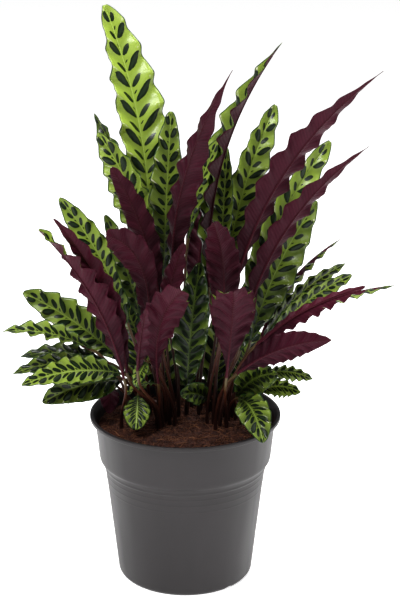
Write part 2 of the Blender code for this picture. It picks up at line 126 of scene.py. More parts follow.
LEAVES: tuple[Leaf, ...] = (
    Leaf(
        "leaf_crown_1", (-22, 35), (-39, 46, 346), (-89, 120, 618), 62, 24, 6, 9, 0.95,
        sway=-14, point=0.5, fold=24,
    ),
    Leaf("leaf_crown_2", (-8, 43), (-24, 44, 328), (-15, 58, 512), 36, -10, 6, 8, 0.45, sway=-3, point=0.5),
    Leaf("leaf_crown_3", (-23, 11), (-38, 0, 356), (-93, 30, 494), 42, -22, 12, 8, 0.7, fold=20),
    Leaf("leaf_crown_4", (-24, 26), (-39, 25, 363), (-99, 72, 507), 36, -38, 8, 8, 0.3, point=0.9, fold=26),
    Leaf(
        "leaf_crown_5", (-7, 11), (-12, 2, 325), (46, -109, 584), 34, 150, 6, 9, 0.4,
        sway=-19, point=1.4, fold=26,
    ),
    Leaf(
        "leaf_crown_6", (15, 18), (25, 14, 324), (99, -17, 597), 42, -74, 26, 9, 0.5,
        twist=10, point=1.1, fold=38,
    ),
    Leaf("leaf_crown_7", (7, 42), (12, 50, 301), (27, 95, 420), 35, 175, 8, 8, 0.5),
    Leaf("leaf_crown_8", (2, 24), (3, 22, 378), (39, 0, 500), 24, -35, 6, 7, 0.7, point=0.8),
    Leaf("leaf_crown_9", (34, 26), (40, 31, 347), (46, 42, 475), 24, -20, 3, 7, 0.55, point=0.8),
    Leaf("leaf_crown_10", (28, 30), (43, 41, 327), (99, 85, 514), 40, 20, 10, 8, 0.65, point=0.5, fold=20),
    Leaf("leaf_right_1", (40, 21), (60, 17, 279), (157, 55, 480), 42, 20, 14, 8, 0.7, point=0.5, fold=20),
    Leaf("leaf_right_2", (44, 15), (71, 5, 267), (141, 17, 423), 44, 12, 8, 7, 0.4, point=0.65, fold=18),
    Leaf(
        "leaf_right_3", (31, -8), (47, -30, 320), (191, -110, 583), 37, -140, 28, 10, 0.5,
        point=1.6, fold=18,
    ),
    Leaf(
        "leaf_right_4", (37, -2), (60, -20, 280), (184, -75, 502), 30, -140, 24, 9, 0.5,
        point=1.35, fold=18,
    ),
    Leaf("leaf_right_5", (51, 14), (85, 27, 264), (171, 31, 378), 20, 75, 14, 8, 0.6, point=1.1, fold=25),
    Leaf("leaf_right_6", (61, 16), (84, 11, 267), (175, 31, 349), 26, 40, 10, 8, 0.6, point=0.7),
    Leaf("leaf_right_7", (56, 9), (87, 3, 267), (180, 8, 343), 26, 30, 8, 8, 0.65, point=0.5),
    Leaf(
        "leaf_right_8", (38, -14), (76, -18, 268), (216, -73, 356), 24, 120, 14, 10, 0.7,
        twist=-65, point=0.9, fold=26,
    ),
    Leaf("leaf_right_9", (48, 7), (77, -10, 269), (191, -25, 340), 17, 150, 8, 8, 0.8, point=0.55, fold=20),
    Leaf(
        "leaf_right_10", (33, -25), (54, -58, 253), (148, -115, 311), 33, 188, 9, 10, 0.5,
        point=0.8, fold=24,
    ),
    Leaf("leaf_right_11", (62, -5), (56, -6, 207), (97, -71, 258), 34, 15, 8, 6, 0.25, point=0.5),
    Leaf("leaf_right_12", (69, 11), (78, 0, 208), (124, -40, 226), 26, 40, 8, 7, 0.55),
    Leaf("leaf_right_13", (53, 23), (85, 20, 224), (140, 0, 226), 22, 45, 6, 7, 0.5),
    Leaf("leaf_right_14", (45, -2), (57, -20, 211), (82, -92, 189), 36, -5, 14, 7, 0.45, belly=1.2),
    Leaf("leaf_left_1", (-16, 10), (-27, -6, 319), (-75, -57, 476), 28, 165, 10, 7, 0.5, point=0.5),
    Leaf(
        "leaf_left_2", (-11, -14), (-37, -42, 284), (-78, -122, 422), 34, 172, 32, 7, 0.5,
        point=0.5, belly=1.5,
    ),
    Leaf(
        "leaf_left_3", (-31, -10), (-61, -45, 248), (-133, -84, 430), 26, 150, 15, 9, 0.6,
        point=0.8, fold=16,
    ),
    Leaf(
        "leaf_left_4", (-70, -16), (-64, -55, 245), (-149, -78, 416), 38, 160, 14, 9, 0.6,
        twist=-95, point=0.4, fold=20, belly=1.2,
    ),
    Leaf("leaf_left_5", (-39, 20), (-62, 8, 286), (-134, 10, 428), 37, -8, 8, 8, 0.75, fold=20),
    Leaf("leaf_left_6", (-29, 6), (-47, -5, 290), (-83, -44, 423), 24, 20, 4, 6, 0.3, point=0.5),
    Leaf("leaf_left_7", (-45, 37), (-70, 32, 234), (-177, 18, 320), 42, 20, 6, 7, 0.45, point=0.55),
    Leaf("leaf_left_8", (-61, 0), (-101, -8, 263), (-193, -45, 296), 28, 50, 8, 6, 0.6, point=0.8, fold=20),
    Leaf("leaf_left_9", (-49, 29), (-86, 29, 235), (-184, 32, 240), 23, 35, 8, 6, 0.15, point=0.8),
    Leaf("leaf_left_10", (-50, 16), (-80, -8, 235), (-189, -4, 233), 26, 30, 12, 7, 0.4, point=0.9),
    Leaf(
        "leaf_left_11", (-45, -7), (-70, -9, 236), (-175, -47, 236), 34, 25, 9, 8, 0.85,
        point=0.7, belly=0.8,
    ),
    Leaf("leaf_left_12", (-43, 12), (-69, 5, 224), (-156, -15, 204), 40, 10, 6, 6, 0.3, belly=0.75),
    Leaf("leaf_left_13", (-57, 26), (-82, 25, 209), (-84, -5, 187), 22, 180, 6, 5, 0.5),
    Leaf(
        "leaf_front_1", (-29, -18), (-29, -35, 233), (-3, -127, 367), 40, 196, 14, 8, 0.6,
        sway=-8, point=0.4, belly=1.5,
    ),
    Leaf("leaf_front_2", (-17, -9), (-35, -27, 286), (-48, -47, 365), 24, 165, 4, 6, 0.5),
    Leaf("leaf_front_3", (-27, -24), (-49, -81, 264), (-39, -101, 340), 20, 140, 3, 6, 0.5),
    Leaf("leaf_front_4", (-11, -4), (-24, -24, 285), (-1, -48, 394), 24, 160, 5, 6, 0.5),
    Leaf(
        "leaf_front_5", (45, -17), (43, -69, 251), (48, -127, 366), 48, 180, 18, 8, 0.5,
        sway=4, point=0.35, belly=1.6,
    ),
    Leaf("leaf_front_6", (24, -9), (39, -34, 296), (28, -95, 428), 36, 175, 14, 8, 0.5, sway=4, point=0.5),
    Leaf("leaf_front_7", (1, 17), (2, -10, 215), (16, 8, 357), 40, -10, 4, 8, 0.12),
    Leaf("leaf_front_8", (17, 36), (26, 6, 199), (-5, -33, 219), 26, 0, 5, 5, 0.2, point=0.5),
    Leaf("leaf_front_9", (-30, -4), (-51, -28, 218), (-53, -52, 187), 30, 0, 0, 6, 0.7, point=0.5),
    Leaf("leaf_front_10", (-21, -1), (-32, -7, 223), (-66, -32, 217), 18, 70, 4, 5, 0.7),
    Leaf("leaf_front_11", (-25, -12), (-41, -35, 258), (-52, -67, 242), 17, 20, 4, 6, 0.6, point=0.5),
    Leaf("leaf_rear_1", (25, 45), (41, 55, 293), (69, 130, 409), 38, 0, 10, 8, 0.5),
    Leaf("leaf_rear_2", (-21, 43), (-48, 39, 243), (-99, 100, 330), 28, 5, 10, 7, 0.5),
    Leaf("leaf_rear_3", (38, 35), (61, 45, 241), (122, 115, 326), 34, 0, 10, 7, 0.5),
    Leaf("leaf_rear_4", (11, 48), (18, 60, 244), (14, 150, 372), 34, 0, 12, 8, 0.5),
    Leaf("leaf_rear_5", (-16, 49), (-25, 62, 184), (-41, 118, 252), 44, 0, 14, 6, 0.5, belly=0.8),
    Leaf("leaf_rear_6", (22, 52), (35, 66, 183), (48, 128, 266), 44, 0, 12, 6, 0.5, belly=0.8),
    Leaf("leaf_rear_7", (38, 42), (62, 48, 197), (80, 110, 250), 46, 5, 10, 6, 0.5, belly=0.8),
    Leaf("leaf_rear_8", (-28, 33), (-49, 51, 191), (-66, 104, 281), 44, -5, 10, 6, 0.5, belly=0.8),
    Leaf("leaf_rear_9", (3, 59), (4, 78, 178), (3, 140, 250), 44, 0, 12, 6, 0.5, belly=0.8),
)


def linear(hex_colour: str) -> tuple[float, float, float, float]:
    """An sRGB hex colour as linear red, green, blue and alpha.

    Args:
        hex_colour: Six hex digits after a hash sign.

    Returns:
        The colour as a shader socket takes it.
    """
    values = []
    for k in (1, 3, 5):
        c = int(hex_colour[k : k + 2], 16) / 255
        values.append(c / 12.92 if c <= 0.04045 else ((c + 0.055) / 1.055) ** 2.4)
    return (values[0], values[1], values[2], 1.0)


def feed(
    tree: bpy.types.NodeTree, node: bpy.types.Node, inputs: Sequence[object] | Mapping[int | str, object]
) -> None:
    """Sets or links inputs of a node.

    Args:
        tree: The node's tree.
        node: The node.
        inputs: What the inputs take, in their order or by name or number. A node there means its
            first output in use.
    """
    pairs = inputs.items() if isinstance(inputs, Mapping) else enumerate(inputs)
    for key, value in pairs:
        if isinstance(value, bpy.types.Node):
            value = next(output for output in value.outputs if output.enabled)
        if isinstance(value, bpy.types.NodeSocket):
            tree.links.new(value, node.inputs[key])
        else:
            node.inputs[key].default_value = value


def add(
    tree: bpy.types.NodeTree,
    kind: str,
    inputs: Sequence[object] | Mapping[int | str, object] = (),
    **settings: object,
) -> bpy.types.Node:
    """Adds one node with its settings and links.

    Args:
        tree: The tree that the node goes into.
        kind: Blender's name of the node's type.
        inputs: What its inputs take, as feed reads it.
        settings: Properties of the node.

    Returns:
        The new node.
    """
    node = tree.nodes.new(kind)
    for key, value in settings.items():
        setattr(node, key, value)
    feed(tree, node, inputs)
    return node


def started(name: str) -> tuple[bpy.types.Material, bpy.types.NodeTree, bpy.types.Node]:
    """A new material with its tree and its shader.

    Args:
        name: The material's name.

    Returns:
        The material, its node tree and the Principled shader in it.
    """
    material = bpy.data.materials.new(name)
    material.use_nodes = True
    return material, material.node_tree, material.node_tree.nodes["Principled BSDF"]


def unit(v: np.ndarray) -> np.ndarray:
    """v at length 1, row by row."""
    return v / np.maximum(np.linalg.norm(v, axis=-1, keepdims=True), 1e-9)


def cubic(points: tuple[np.ndarray, ...], t: np.ndarray) -> tuple[np.ndarray, np.ndarray]:
    """Points and unit tangents of a cubic Bezier curve.

    Args:
        points: The four control points.
        t: Where to read the curve, from 0 to 1.

    Returns:
        The points and the tangents.
    """
    a, b, c, d = points
    t = t[:, None]
    s = 1 - t
    at = s**3 * a + 3 * s * s * t * b + 3 * s * t * t * c + t**3 * d
    return at, unit(3 * s * s * (b - a) + 6 * s * t * (c - b) + 3 * t * t * (d - c))


def quadratic(points: tuple[np.ndarray, ...], t: np.ndarray) -> tuple[np.ndarray, np.ndarray]:
    """Points and unit tangents of a quadratic Bezier curve.

    Args:
        points: The three control points.
        t: Where to read the curve, from 0 to 1.

    Returns:
        The points and the tangents.
    """
    a, b, c = points
    t = t[:, None]
    s = 1 - t
    return s * s * a + 2 * s * t * b + t * t * c, unit(2 * s * (b - a) + 2 * t * (c - b))


def ramp(x: np.ndarray, low: float, high: float) -> np.ndarray:
    """A smooth rise from 0 at low to 1 at high."""
    t = np.clip((x - low) / (high - low), 0, 1)
    return t * t * (3 - 2 * t)


def linked(name: str, mesh: bpy.types.Mesh) -> bpy.types.Object:
    """A mesh as an object at the origin of the scene."""
    obj = bpy.data.objects.new(name, mesh)
    bpy.context.scene.collection.objects.link(obj)
    return obj


def mesh_object(
    name: str, points: np.ndarray, faces: list[tuple[int, ...]], materials: list[bpy.types.Material]
) -> bpy.types.Object:
    """A linked mesh object at the origin.

    Args:
        name: The object's name.
        points: Its points in millimetres.
        faces: Its faces as point numbers.
        materials: Its material slots.

    Returns:
        The object, shaded smooth.
    """
    mesh = bpy.data.meshes.new(name)
    mesh.from_pydata((points * MM).tolist(), [], faces)
    for material in materials:
        mesh.materials.append(material)
    mesh.shade_smooth()
    return linked(name, mesh)


@dataclass(frozen=True)
class OvalRow:
    """A row of ovals on each half of a blade, one for each wave of the margin.

    offset is where in the wave the ovals lie and breadth half their breadth, as shares of a wave.
    middle is how far out they lie and reach half their length, as shares of the half width.
    """

    offset: float
    middle: float
    reach: float
    breadth: float
    bluntness: float = 0.72
    blur: tuple[float, float] = (-0.006, 0.016)

    def mask(
        self, tree: bpy.types.NodeTree, across: bpy.types.NodeSocket, along: bpy.types.NodeSocket
    ) -> bpy.types.Node:
        """The row, with each oval pointed at both ends.

        Args:
            tree: The material's tree.
            across: The share of the half width from the midrib.
            along: Waves counted along the leaf, slanted with the side veins.

        Returns:
            A node that gives 1 inside the ovals and 0 outside.
        """
        turn = add(tree, MATH, (along, self.offset), operation="ADD")
        turn = add(tree, MATH, (turn,), operation="FRACT")
        turn = add(tree, MATH, (turn, 0.5), operation="SUBTRACT")
        away = add(tree, MATH, (turn,), operation="ABSOLUTE")
        out = add(tree, MATH, (across, self.middle), operation="SUBTRACT")
        out = add(tree, MATH, (out, self.reach), operation="DIVIDE")
        out = add(tree, MATH, (out,), operation="ABSOLUTE")
        out = add(tree, MATH, (out, 2.0), operation="POWER")
        bow = add(tree, MATH, (1.0, out), operation="SUBTRACT", use_clamp=True)
        bow = add(tree, MATH, (bow, self.bluntness), operation="POWER")
        bow = add(tree, MATH, (bow, self.breadth), operation="MULTIPLY")
        slim = add(tree, ATTRIBUTE, attribute_name="slim").outputs["Fac"]
        bow = add(tree, MATH, (bow, slim), operation="MULTIPLY")
        inside = add(tree, MATH, (bow, away), operation="SUBTRACT")
        return add(tree, RANGE, (inside, *self.blur, 0.0, 1.0), interpolation_type="SMOOTHSTEP")


@dataclass(frozen=True)
class LeafUpper:
    """The upper face: living leaf tissue under a thin waxy cuticle.

    It is yellow-green with dark ovals that slant from the midrib to the margin, large and small in
    turn; the waxy coat gives glints, and painted glints lie in broken pale lines on the crests of
    the waves. vein_step and emboss are in millimetres.
    """

    lit: str = "#94AA45"
    shaded: str = "#1C2C0A"
    oval_lit: str = "#17270F"
    oval_shaded: str = "#091207"
    # The colour of a painted sheen in the middle of the large ovals.
    oval_sheen: str = "#33452D"
    midrib: str = "#B9CF7A"
    margin: str = "#23401A"
    # The pale colour of the painted glints on the wave crests.
    painted_glint: str = "#E2E0C8"
    large: OvalRow = OvalRow(offset=0.62, middle=0.47, reach=0.40, breadth=0.235)
    small: OvalRow = OvalRow(offset=0.12, middle=0.29, reach=0.235, breadth=0.185)
    tiny: OvalRow = OvalRow(offset=0.37, middle=0.13, reach=0.075, breadth=0.055)
    # Where that painted sheen lies in each large oval, and how strongly it shows.
    painted_sheen: OvalRow = OvalRow(offset=0.62, middle=0.47, reach=0.30, breadth=0.10)
    painted_sheen_share: float = 0.35
    # How far the painted glints go towards their pale colour.
    flow_marks_and_glint: float = 1.0
    roughness: float = 0.36
    coat: float = 0.28
    coat_roughness: float = 0.2
    vein_step: float = 1.7
    vein_light: float = 0.05
    mottle_light: float = 0.34
    # How much lighter the crests are painted than the troughs: painted light and shade.
    crest_light: float = 0.2
    light_level: float = 0.17
    emboss: float = 0.6

    def material(self) -> bpy.types.Material:
        """The cuticle with the ovals, the veins, the midrib and the dark margin."""
        material, tree, shader = started("calathea_cuticle")
        pattern = add(tree, "ShaderNodeUVMap", uv_map="Pattern")
        span = add(tree, "ShaderNodeUVMap", uv_map="Span")
        names = ("tone", "edge", "vein", "height", "from_rib")
        read = [add(tree, ATTRIBUTE, attribute_name=name).outputs["Fac"] for name in names]
        tone, edge, veins, height, reach = read

        # Growth is never even, so the ovals' outlines wander a little, in spots about 6 mm across.
        wander = add(tree, NOISE, {"Vector": span, "Scale": 160.0, "Detail": 2.0})
        shift = add(tree, VECTOR, (wander.outputs["Color"], MIDDLE_GREY), operation="SUBTRACT")
        moved = add(tree, VECTOR, (shift, (0.10, 0.06, 0.0), pattern), operation="MULTIPLY_ADD")
        place = add(tree, "ShaderNodeSeparateXYZ", (moved,))
        across, along = place.outputs[0], place.outputs[1]
        ovals = self.large.mask(tree, across, along)
        for row in (self.small, self.tiny):
            ovals = add(tree, MATH, (ovals, row.mask(tree, across, along)), operation="MAXIMUM")

        # Fine side veins run with the ovals, and the tissue is cloudy over about 18 mm.
        turns = add(tree, MATH, (veins, FULL_TURN / self.vein_step), operation="MULTIPLY")
        vein = add(tree, MATH, (turns,), operation="SINE")
        mottle = add(tree, NOISE, {"Vector": span, "Scale": 55.0, "Detail": 3.0})
        # Each leaf's tone is painted light and shade, darker towards the heel.
        light = add(tree, MATH, (vein, self.vein_light, tone), operation="MULTIPLY_ADD")
        light = add(tree, MATH, (mottle, self.mottle_light, light), operation="MULTIPLY_ADD")
        # Painted light and shade: the crests are drawn lighter and the troughs darker.
        light = add(tree, MATH, (height, self.crest_light, light), operation="MULTIPLY_ADD")
        light = add(tree, MATH, (light, self.light_level), operation="SUBTRACT", use_clamp=True)
        greens = {0: light, 6: linear(self.shaded), 7: linear(self.lit)}
        green = add(tree, MIX, greens, data_type="RGBA")
        darks = {0: light, 6: linear(self.oval_shaded), 7: linear(self.oval_lit)}
        dark = add(tree, MIX, darks, data_type="RGBA")
        # A painted sheen lightens the middle of each large oval.
        painted_sheen = self.painted_sheen.mask(tree, across, along)
        painted_sheen = add(tree, MATH, (painted_sheen, self.painted_sheen_share), operation="MULTIPLY")
        dark = add(tree, MIX, {0: painted_sheen, 6: dark, 7: linear(self.oval_sheen)}, data_type="RGBA")
        colour = add(tree, MIX, {0: ovals, 6: green, 7: dark}, data_type="RGBA")

        # Painted glints: pale broken lines on the sharp crests, strongest on the leaves drawn darkest by
        # their painted shade.
        glint_mask = add(tree, RANGE, (height, 0.80, 0.92, 0.0, self.flow_marks_and_glint), interpolation_type="SMOOTHSTEP")
        shade_weight = add(tree, MATH, (1.35, tone), operation="SUBTRACT", use_clamp=True)
        glint_mask = add(tree, MATH, (glint_mask, shade_weight), operation="MULTIPLY")
        broken = add(tree, RANGE, (wander, 0.40, 0.52, 0.3, 1.0), interpolation_type="SMOOTHSTEP")
        glint_mask = add(tree, MATH, (glint_mask, broken), operation="MULTIPLY")
        colour = add(tree, MIX, {0: glint_mask, 6: colour, 7: linear(self.painted_glint)}, data_type="RGBA")

        # A dark line a millimetre wide follows the margin, and a pale one the midrib.
        rim = add(tree, RANGE, (edge, 0.5, 1.5, 1.0, 0.0), interpolation_type="SMOOTHSTEP")
        colour = add(tree, MIX, {0: rim, 6: colour, 7: linear(self.margin)}, data_type="RGBA")
        rib = add(tree, RANGE, (reach, 0.25, 0.7, 0.4, 0.0), interpolation_type="SMOOTHSTEP")
        pale = add(tree, MIX, {0: light, 6: green, 7: linear(self.midrib)}, data_type="RGBA")
        colour = add(tree, MIX, {0: rib, 6: colour, 7: pale}, data_type="RGBA")

        # Wax lies unevenly over about 3 mm, which breaks the glints up.
        wax = add(tree, NOISE, {"Vector": span, "Scale": 300.0, "Detail": 3.0})
        rough = add(tree, RANGE, (wax, 0.3, 0.7, self.roughness - 0.07, self.roughness + 0.10))
        grain = add(tree, MATH, (vein, 0.35, wax), operation="MULTIPLY_ADD")
        fine = add(tree, BUMP, {"Strength": 0.35, "Distance": 0.3 * MM, "Height": grain})
        raised = {"Strength": 0.8, "Distance": self.emboss * MM, "Height": ovals, "Normal": fine}
        looks = {
            "Base Color": colour,
            "Roughness": rough,
            "IOR": 1.45,
            "Specular IOR Level": 0.2,
            "Coat Weight": self.coat,
            "Coat Roughness": self.coat_roughness,
            "Normal": add(tree, BUMP, raised),
        }
        feed(tree, shader, looks)
        return material


@dataclass(frozen=True)
class LeafUnderside:
    """The underside: wine-purple tissue with raised side veins and a fine satin bloom."""

    lit: str = "#561E30"
    shaded: str = "#1E0911"
    rib: str = "#3F141D"
    roughness: float = 0.5
    vein_step: float = 4.2
    light_level: float = 0.2

    def material(self) -> bpy.types.Material:
        """Purple with its veins drawn a little darker and raised."""
        material, tree, shader = started("calathea_underside")
        span = add(tree, "ShaderNodeUVMap", uv_map="Span")
        names = ("tone", "vein", "from_rib")
        read = [add(tree, ATTRIBUTE, attribute_name=name).outputs["Fac"] for name in names]
        tone, veins, reach = read
        turns = add(tree, MATH, (veins, FULL_TURN / self.vein_step), operation="MULTIPLY")
        wave = add(tree, MATH, (turns,), operation="SINE")
        # There are three finer veins to each coarse one.
        fine = add(tree, MATH, (turns, 3.0), operation="MULTIPLY")
        fine = add(tree, MATH, (fine,), operation="SINE")
        mottle = add(tree, NOISE, {"Vector": span, "Scale": 40.0, "Detail": 3.0})
        # The leaf's tone is painted light and shade on the purple too.
        light = add(tree, MATH, (wave, 0.07, tone), operation="MULTIPLY_ADD")
        light = add(tree, MATH, (fine, 0.03, light), operation="MULTIPLY_ADD")
        light = add(tree, MATH, (mottle, 0.4, light), operation="MULTIPLY_ADD")
        light = add(tree, MATH, (light, self.light_level), operation="SUBTRACT", use_clamp=True)
        colour = add(tree, MIX, {0: light, 6: linear(self.shaded), 7: linear(self.lit)}, data_type="RGBA")
        rib = add(tree, RANGE, (reach, 0.6, 1.4, 0.6, 0.0), interpolation_type="SMOOTHSTEP")
        colour = add(tree, MIX, {0: rib, 6: colour, 7: linear(self.rib)}, data_type="RGBA")
        bloom = add(tree, NOISE, {"Vector": span, "Scale": 420.0, "Detail": 2.0})
        rough = add(tree, RANGE, (bloom, 0.3, 0.7, self.roughness - 0.06, self.roughness + 0.1))
        height = add(tree, MATH, (fine, 0.3, wave), operation="MULTIPLY_ADD")
        looks = {
            "Base Color": colour,
            "Roughness": rough,
            "IOR": 1.4,
            "Specular IOR Level": 0.22,
            "Normal": add(tree, BUMP, {"Strength": 0.35, "Distance": 0.3 * MM, "Height": height}),
        }
        feed(tree, shader, looks)
        return material


@dataclass(frozen=True)
class Petiole:
    """The petiole: smooth red-brown skin that pales to olive below the blade."""

    foot: str = "#2A130E"
    middle: str = "#5C3122"
    olive: str = "#5C5A2E"
    roughness: float = 0.42

    def material(self) -> bpy.types.Material:
        """Red-brown skin with streaks about 1 mm wide along the stalk."""
        material, tree, shader = started("calathea_petiole")
        span = add(tree, "ShaderNodeUVMap", uv_map="Span")
        names = ("rise", "tone")
        rise, tone = [add(tree, ATTRIBUTE, attribute_name=name).outputs["Fac"] for name in names]
        stretched = add(tree, "ShaderNodeMapping", {"Vector": span, "Scale": (900.0, 25.0, 1.0)})
        streak = add(tree, NOISE, {"Vector": stretched, "Scale": 1.0, "Detail": 3.0})
        # Darker towards the foot; the leaf's tone, a painted shade, keeps the stalks of shaded leaves dark as
        # well.
        foot = add(tree, RANGE, (rise, 0.0, 0.6, 0.0, 1.0), interpolation_type="SMOOTHSTEP")
        share = add(tree, MATH, (foot, tone), operation="MULTIPLY")
        colour = add(tree, MIX, {0: share, 6: linear(self.foot), 7: linear(self.middle)}, data_type="RGBA")
        top = add(tree, RANGE, (rise, 0.72, 1.0, 0.0, 0.45), interpolation_type="SMOOTHSTEP")
        colour = add(tree, MIX, {0: top, 6: colour, 7: linear(self.olive)}, data_type="RGBA")
        dim = add(tree, RANGE, (streak, 0.3, 0.7, 0.72, 1.15))
        colour = add(tree, MIX, {0: 1.0, 6: colour, 7: dim}, data_type="RGBA", blend_type="MULTIPLY")
        looks = {
            "Base Color": colour,
            "Roughness": self.roughness,
            "IOR": 1.45,
            "Normal": add(tree, BUMP, {"Strength": 0.3, "Distance": 0.3 * MM, "Height": streak}),
        }
        feed(tree, shader, looks)
        return material


@dataclass(frozen=True)
class MouldedPolypropylene:
    """Recycled dark grey polypropylene, injection moulded: an even satin skin with fine grain."""

    colour: str = "#2A2728"
    flow_marks_and_glint: str = "#353133"
    roughness: float = 0.42

    def material(self) -> bpy.types.Material:
        """Dark grey with cloudy flow marks, fine grain and a soft sheen."""
        material, tree, shader = started("moulded_polypropylene")
        place = add(tree, "ShaderNodeTexCoord").outputs["Object"]
        # Clouds about 70 mm across and upright flow marks about 17 mm wide share the paler grey.
        cloud = add(tree, NOISE, {"Vector": place, "Scale": 14.0, "Detail": 4.0})
        stretched = add(tree, "ShaderNodeMapping", {"Vector": place, "Scale": (60.0, 60.0, 5.0)})
        flow = add(tree, NOISE, {"Vector": stretched, "Scale": 1.0, "Detail": 3.0})
        share = add(tree, MATH, (cloud, flow), operation="MULTIPLY")
        share = add(tree, RANGE, (share, 0.12, 0.42, 0.0, 0.55))
        # Mould grain of about 0.6 mm, which breaks the sheen up.
        grain = add(tree, NOISE, {"Vector": place, "Scale": 1600.0, "Detail": 2.0})
        looks = {
            "Base Color": add(
                tree, MIX, {0: share, 6: linear(self.colour), 7: linear(self.flow_marks_and_glint)}, data_type="RGBA"
            ),
            "Roughness": add(tree, RANGE, (flow, 0.3, 0.7, self.roughness - 0.04, self.roughness + 0.08)),
            "IOR": 1.49,
            "Specular IOR Level": 0.4,
            "Normal": add(tree, BUMP, {"Strength": 0.25, "Distance": 0.1 * MM, "Height": grain}),
        }
        feed(tree, shader, looks)
        return material


@dataclass(frozen=True)
class PeatAndCoir:
    """Peat crumbs bound with coir fibre: matt, dark red-brown when moist, with paler dry fibres."""

    moist: str = "#2A1510"
    crumb: str = "#55301F"
    fibre: str = "#8A5C3E"

    def material(self, fibrous: bool) -> bpy.types.Material:
        """The mix's finish.

        Args:
            fibrous: True for the loose fibres, which are paler and drier.

        Returns:
            The material.
        """
        material, tree, shader = started("coir_fibre" if fibrous else "moist_peat")
        place = add(tree, "ShaderNodeTexCoord").outputs["Object"]
        # Clods of about 8 mm hold grains of about 1.6 mm.
        coarse = add(tree, NOISE, {"Vector": place, "Scale": 130.0, "Detail": 5.0})
        fine = add(tree, NOISE, {"Vector": place, "Scale": 620.0, "Detail": 3.0})
        share = add(tree, MATH, (coarse, fine), operation="MULTIPLY")
        share = add(tree, RANGE, (share, 0.14, 0.40, 0.0, 1.0))
        dark, pale = (self.crumb, self.fibre) if fibrous else (self.moist, self.crumb)
        looks = {
            "Base Color": add(tree, MIX, {0: share, 6: linear(dark), 7: linear(pale)}, data_type="RGBA"),
            "Roughness": 0.75 if fibrous else 0.9,
            "Normal": add(tree, BUMP, {"Strength": 0.8, "Distance": 0.8 * MM, "Height": fine}),
        }
        feed(tree, shader, looks)
        return material


@dataclass(frozen=True)
class Blade:
    """The middle surface of a blade, with what its finishes read.

    Grids have a row for each station from the heel to the tip and a column for each place across.
    out, edge and run are the distances from the midrib, the margin and the heel; vein grows across
    the side veins; pattern counts waves; height is 1 on a crest and -1 in a trough. t, mid, normal
    and along belong to the midrib, and v is the share of the half width, negative on one half.
    """

    points: np.ndarray
    normals: np.ndarray
    out: np.ndarray
    edge: np.ndarray
    run: np.ndarray
    vein: np.ndarray
    pattern: np.ndarray
    height: np.ndarray
    slim: float
    t: np.ndarray
    v: np.ndarray
    mid: np.ndarray
    normal: np.ndarray
    along: np.ndarray


@dataclass(frozen=True)
class Stalk:
    """The path of a petiole and of the rib under its blade, a row for each ring of the tube.

    rise is 0 at the foot and 1 at the heel, and passes 1 under the blade.
    """

    centres: np.ndarray
    tangents: np.ndarray
    normals: np.ndarray
    radii: np.ndarray
    rise: np.ndarray


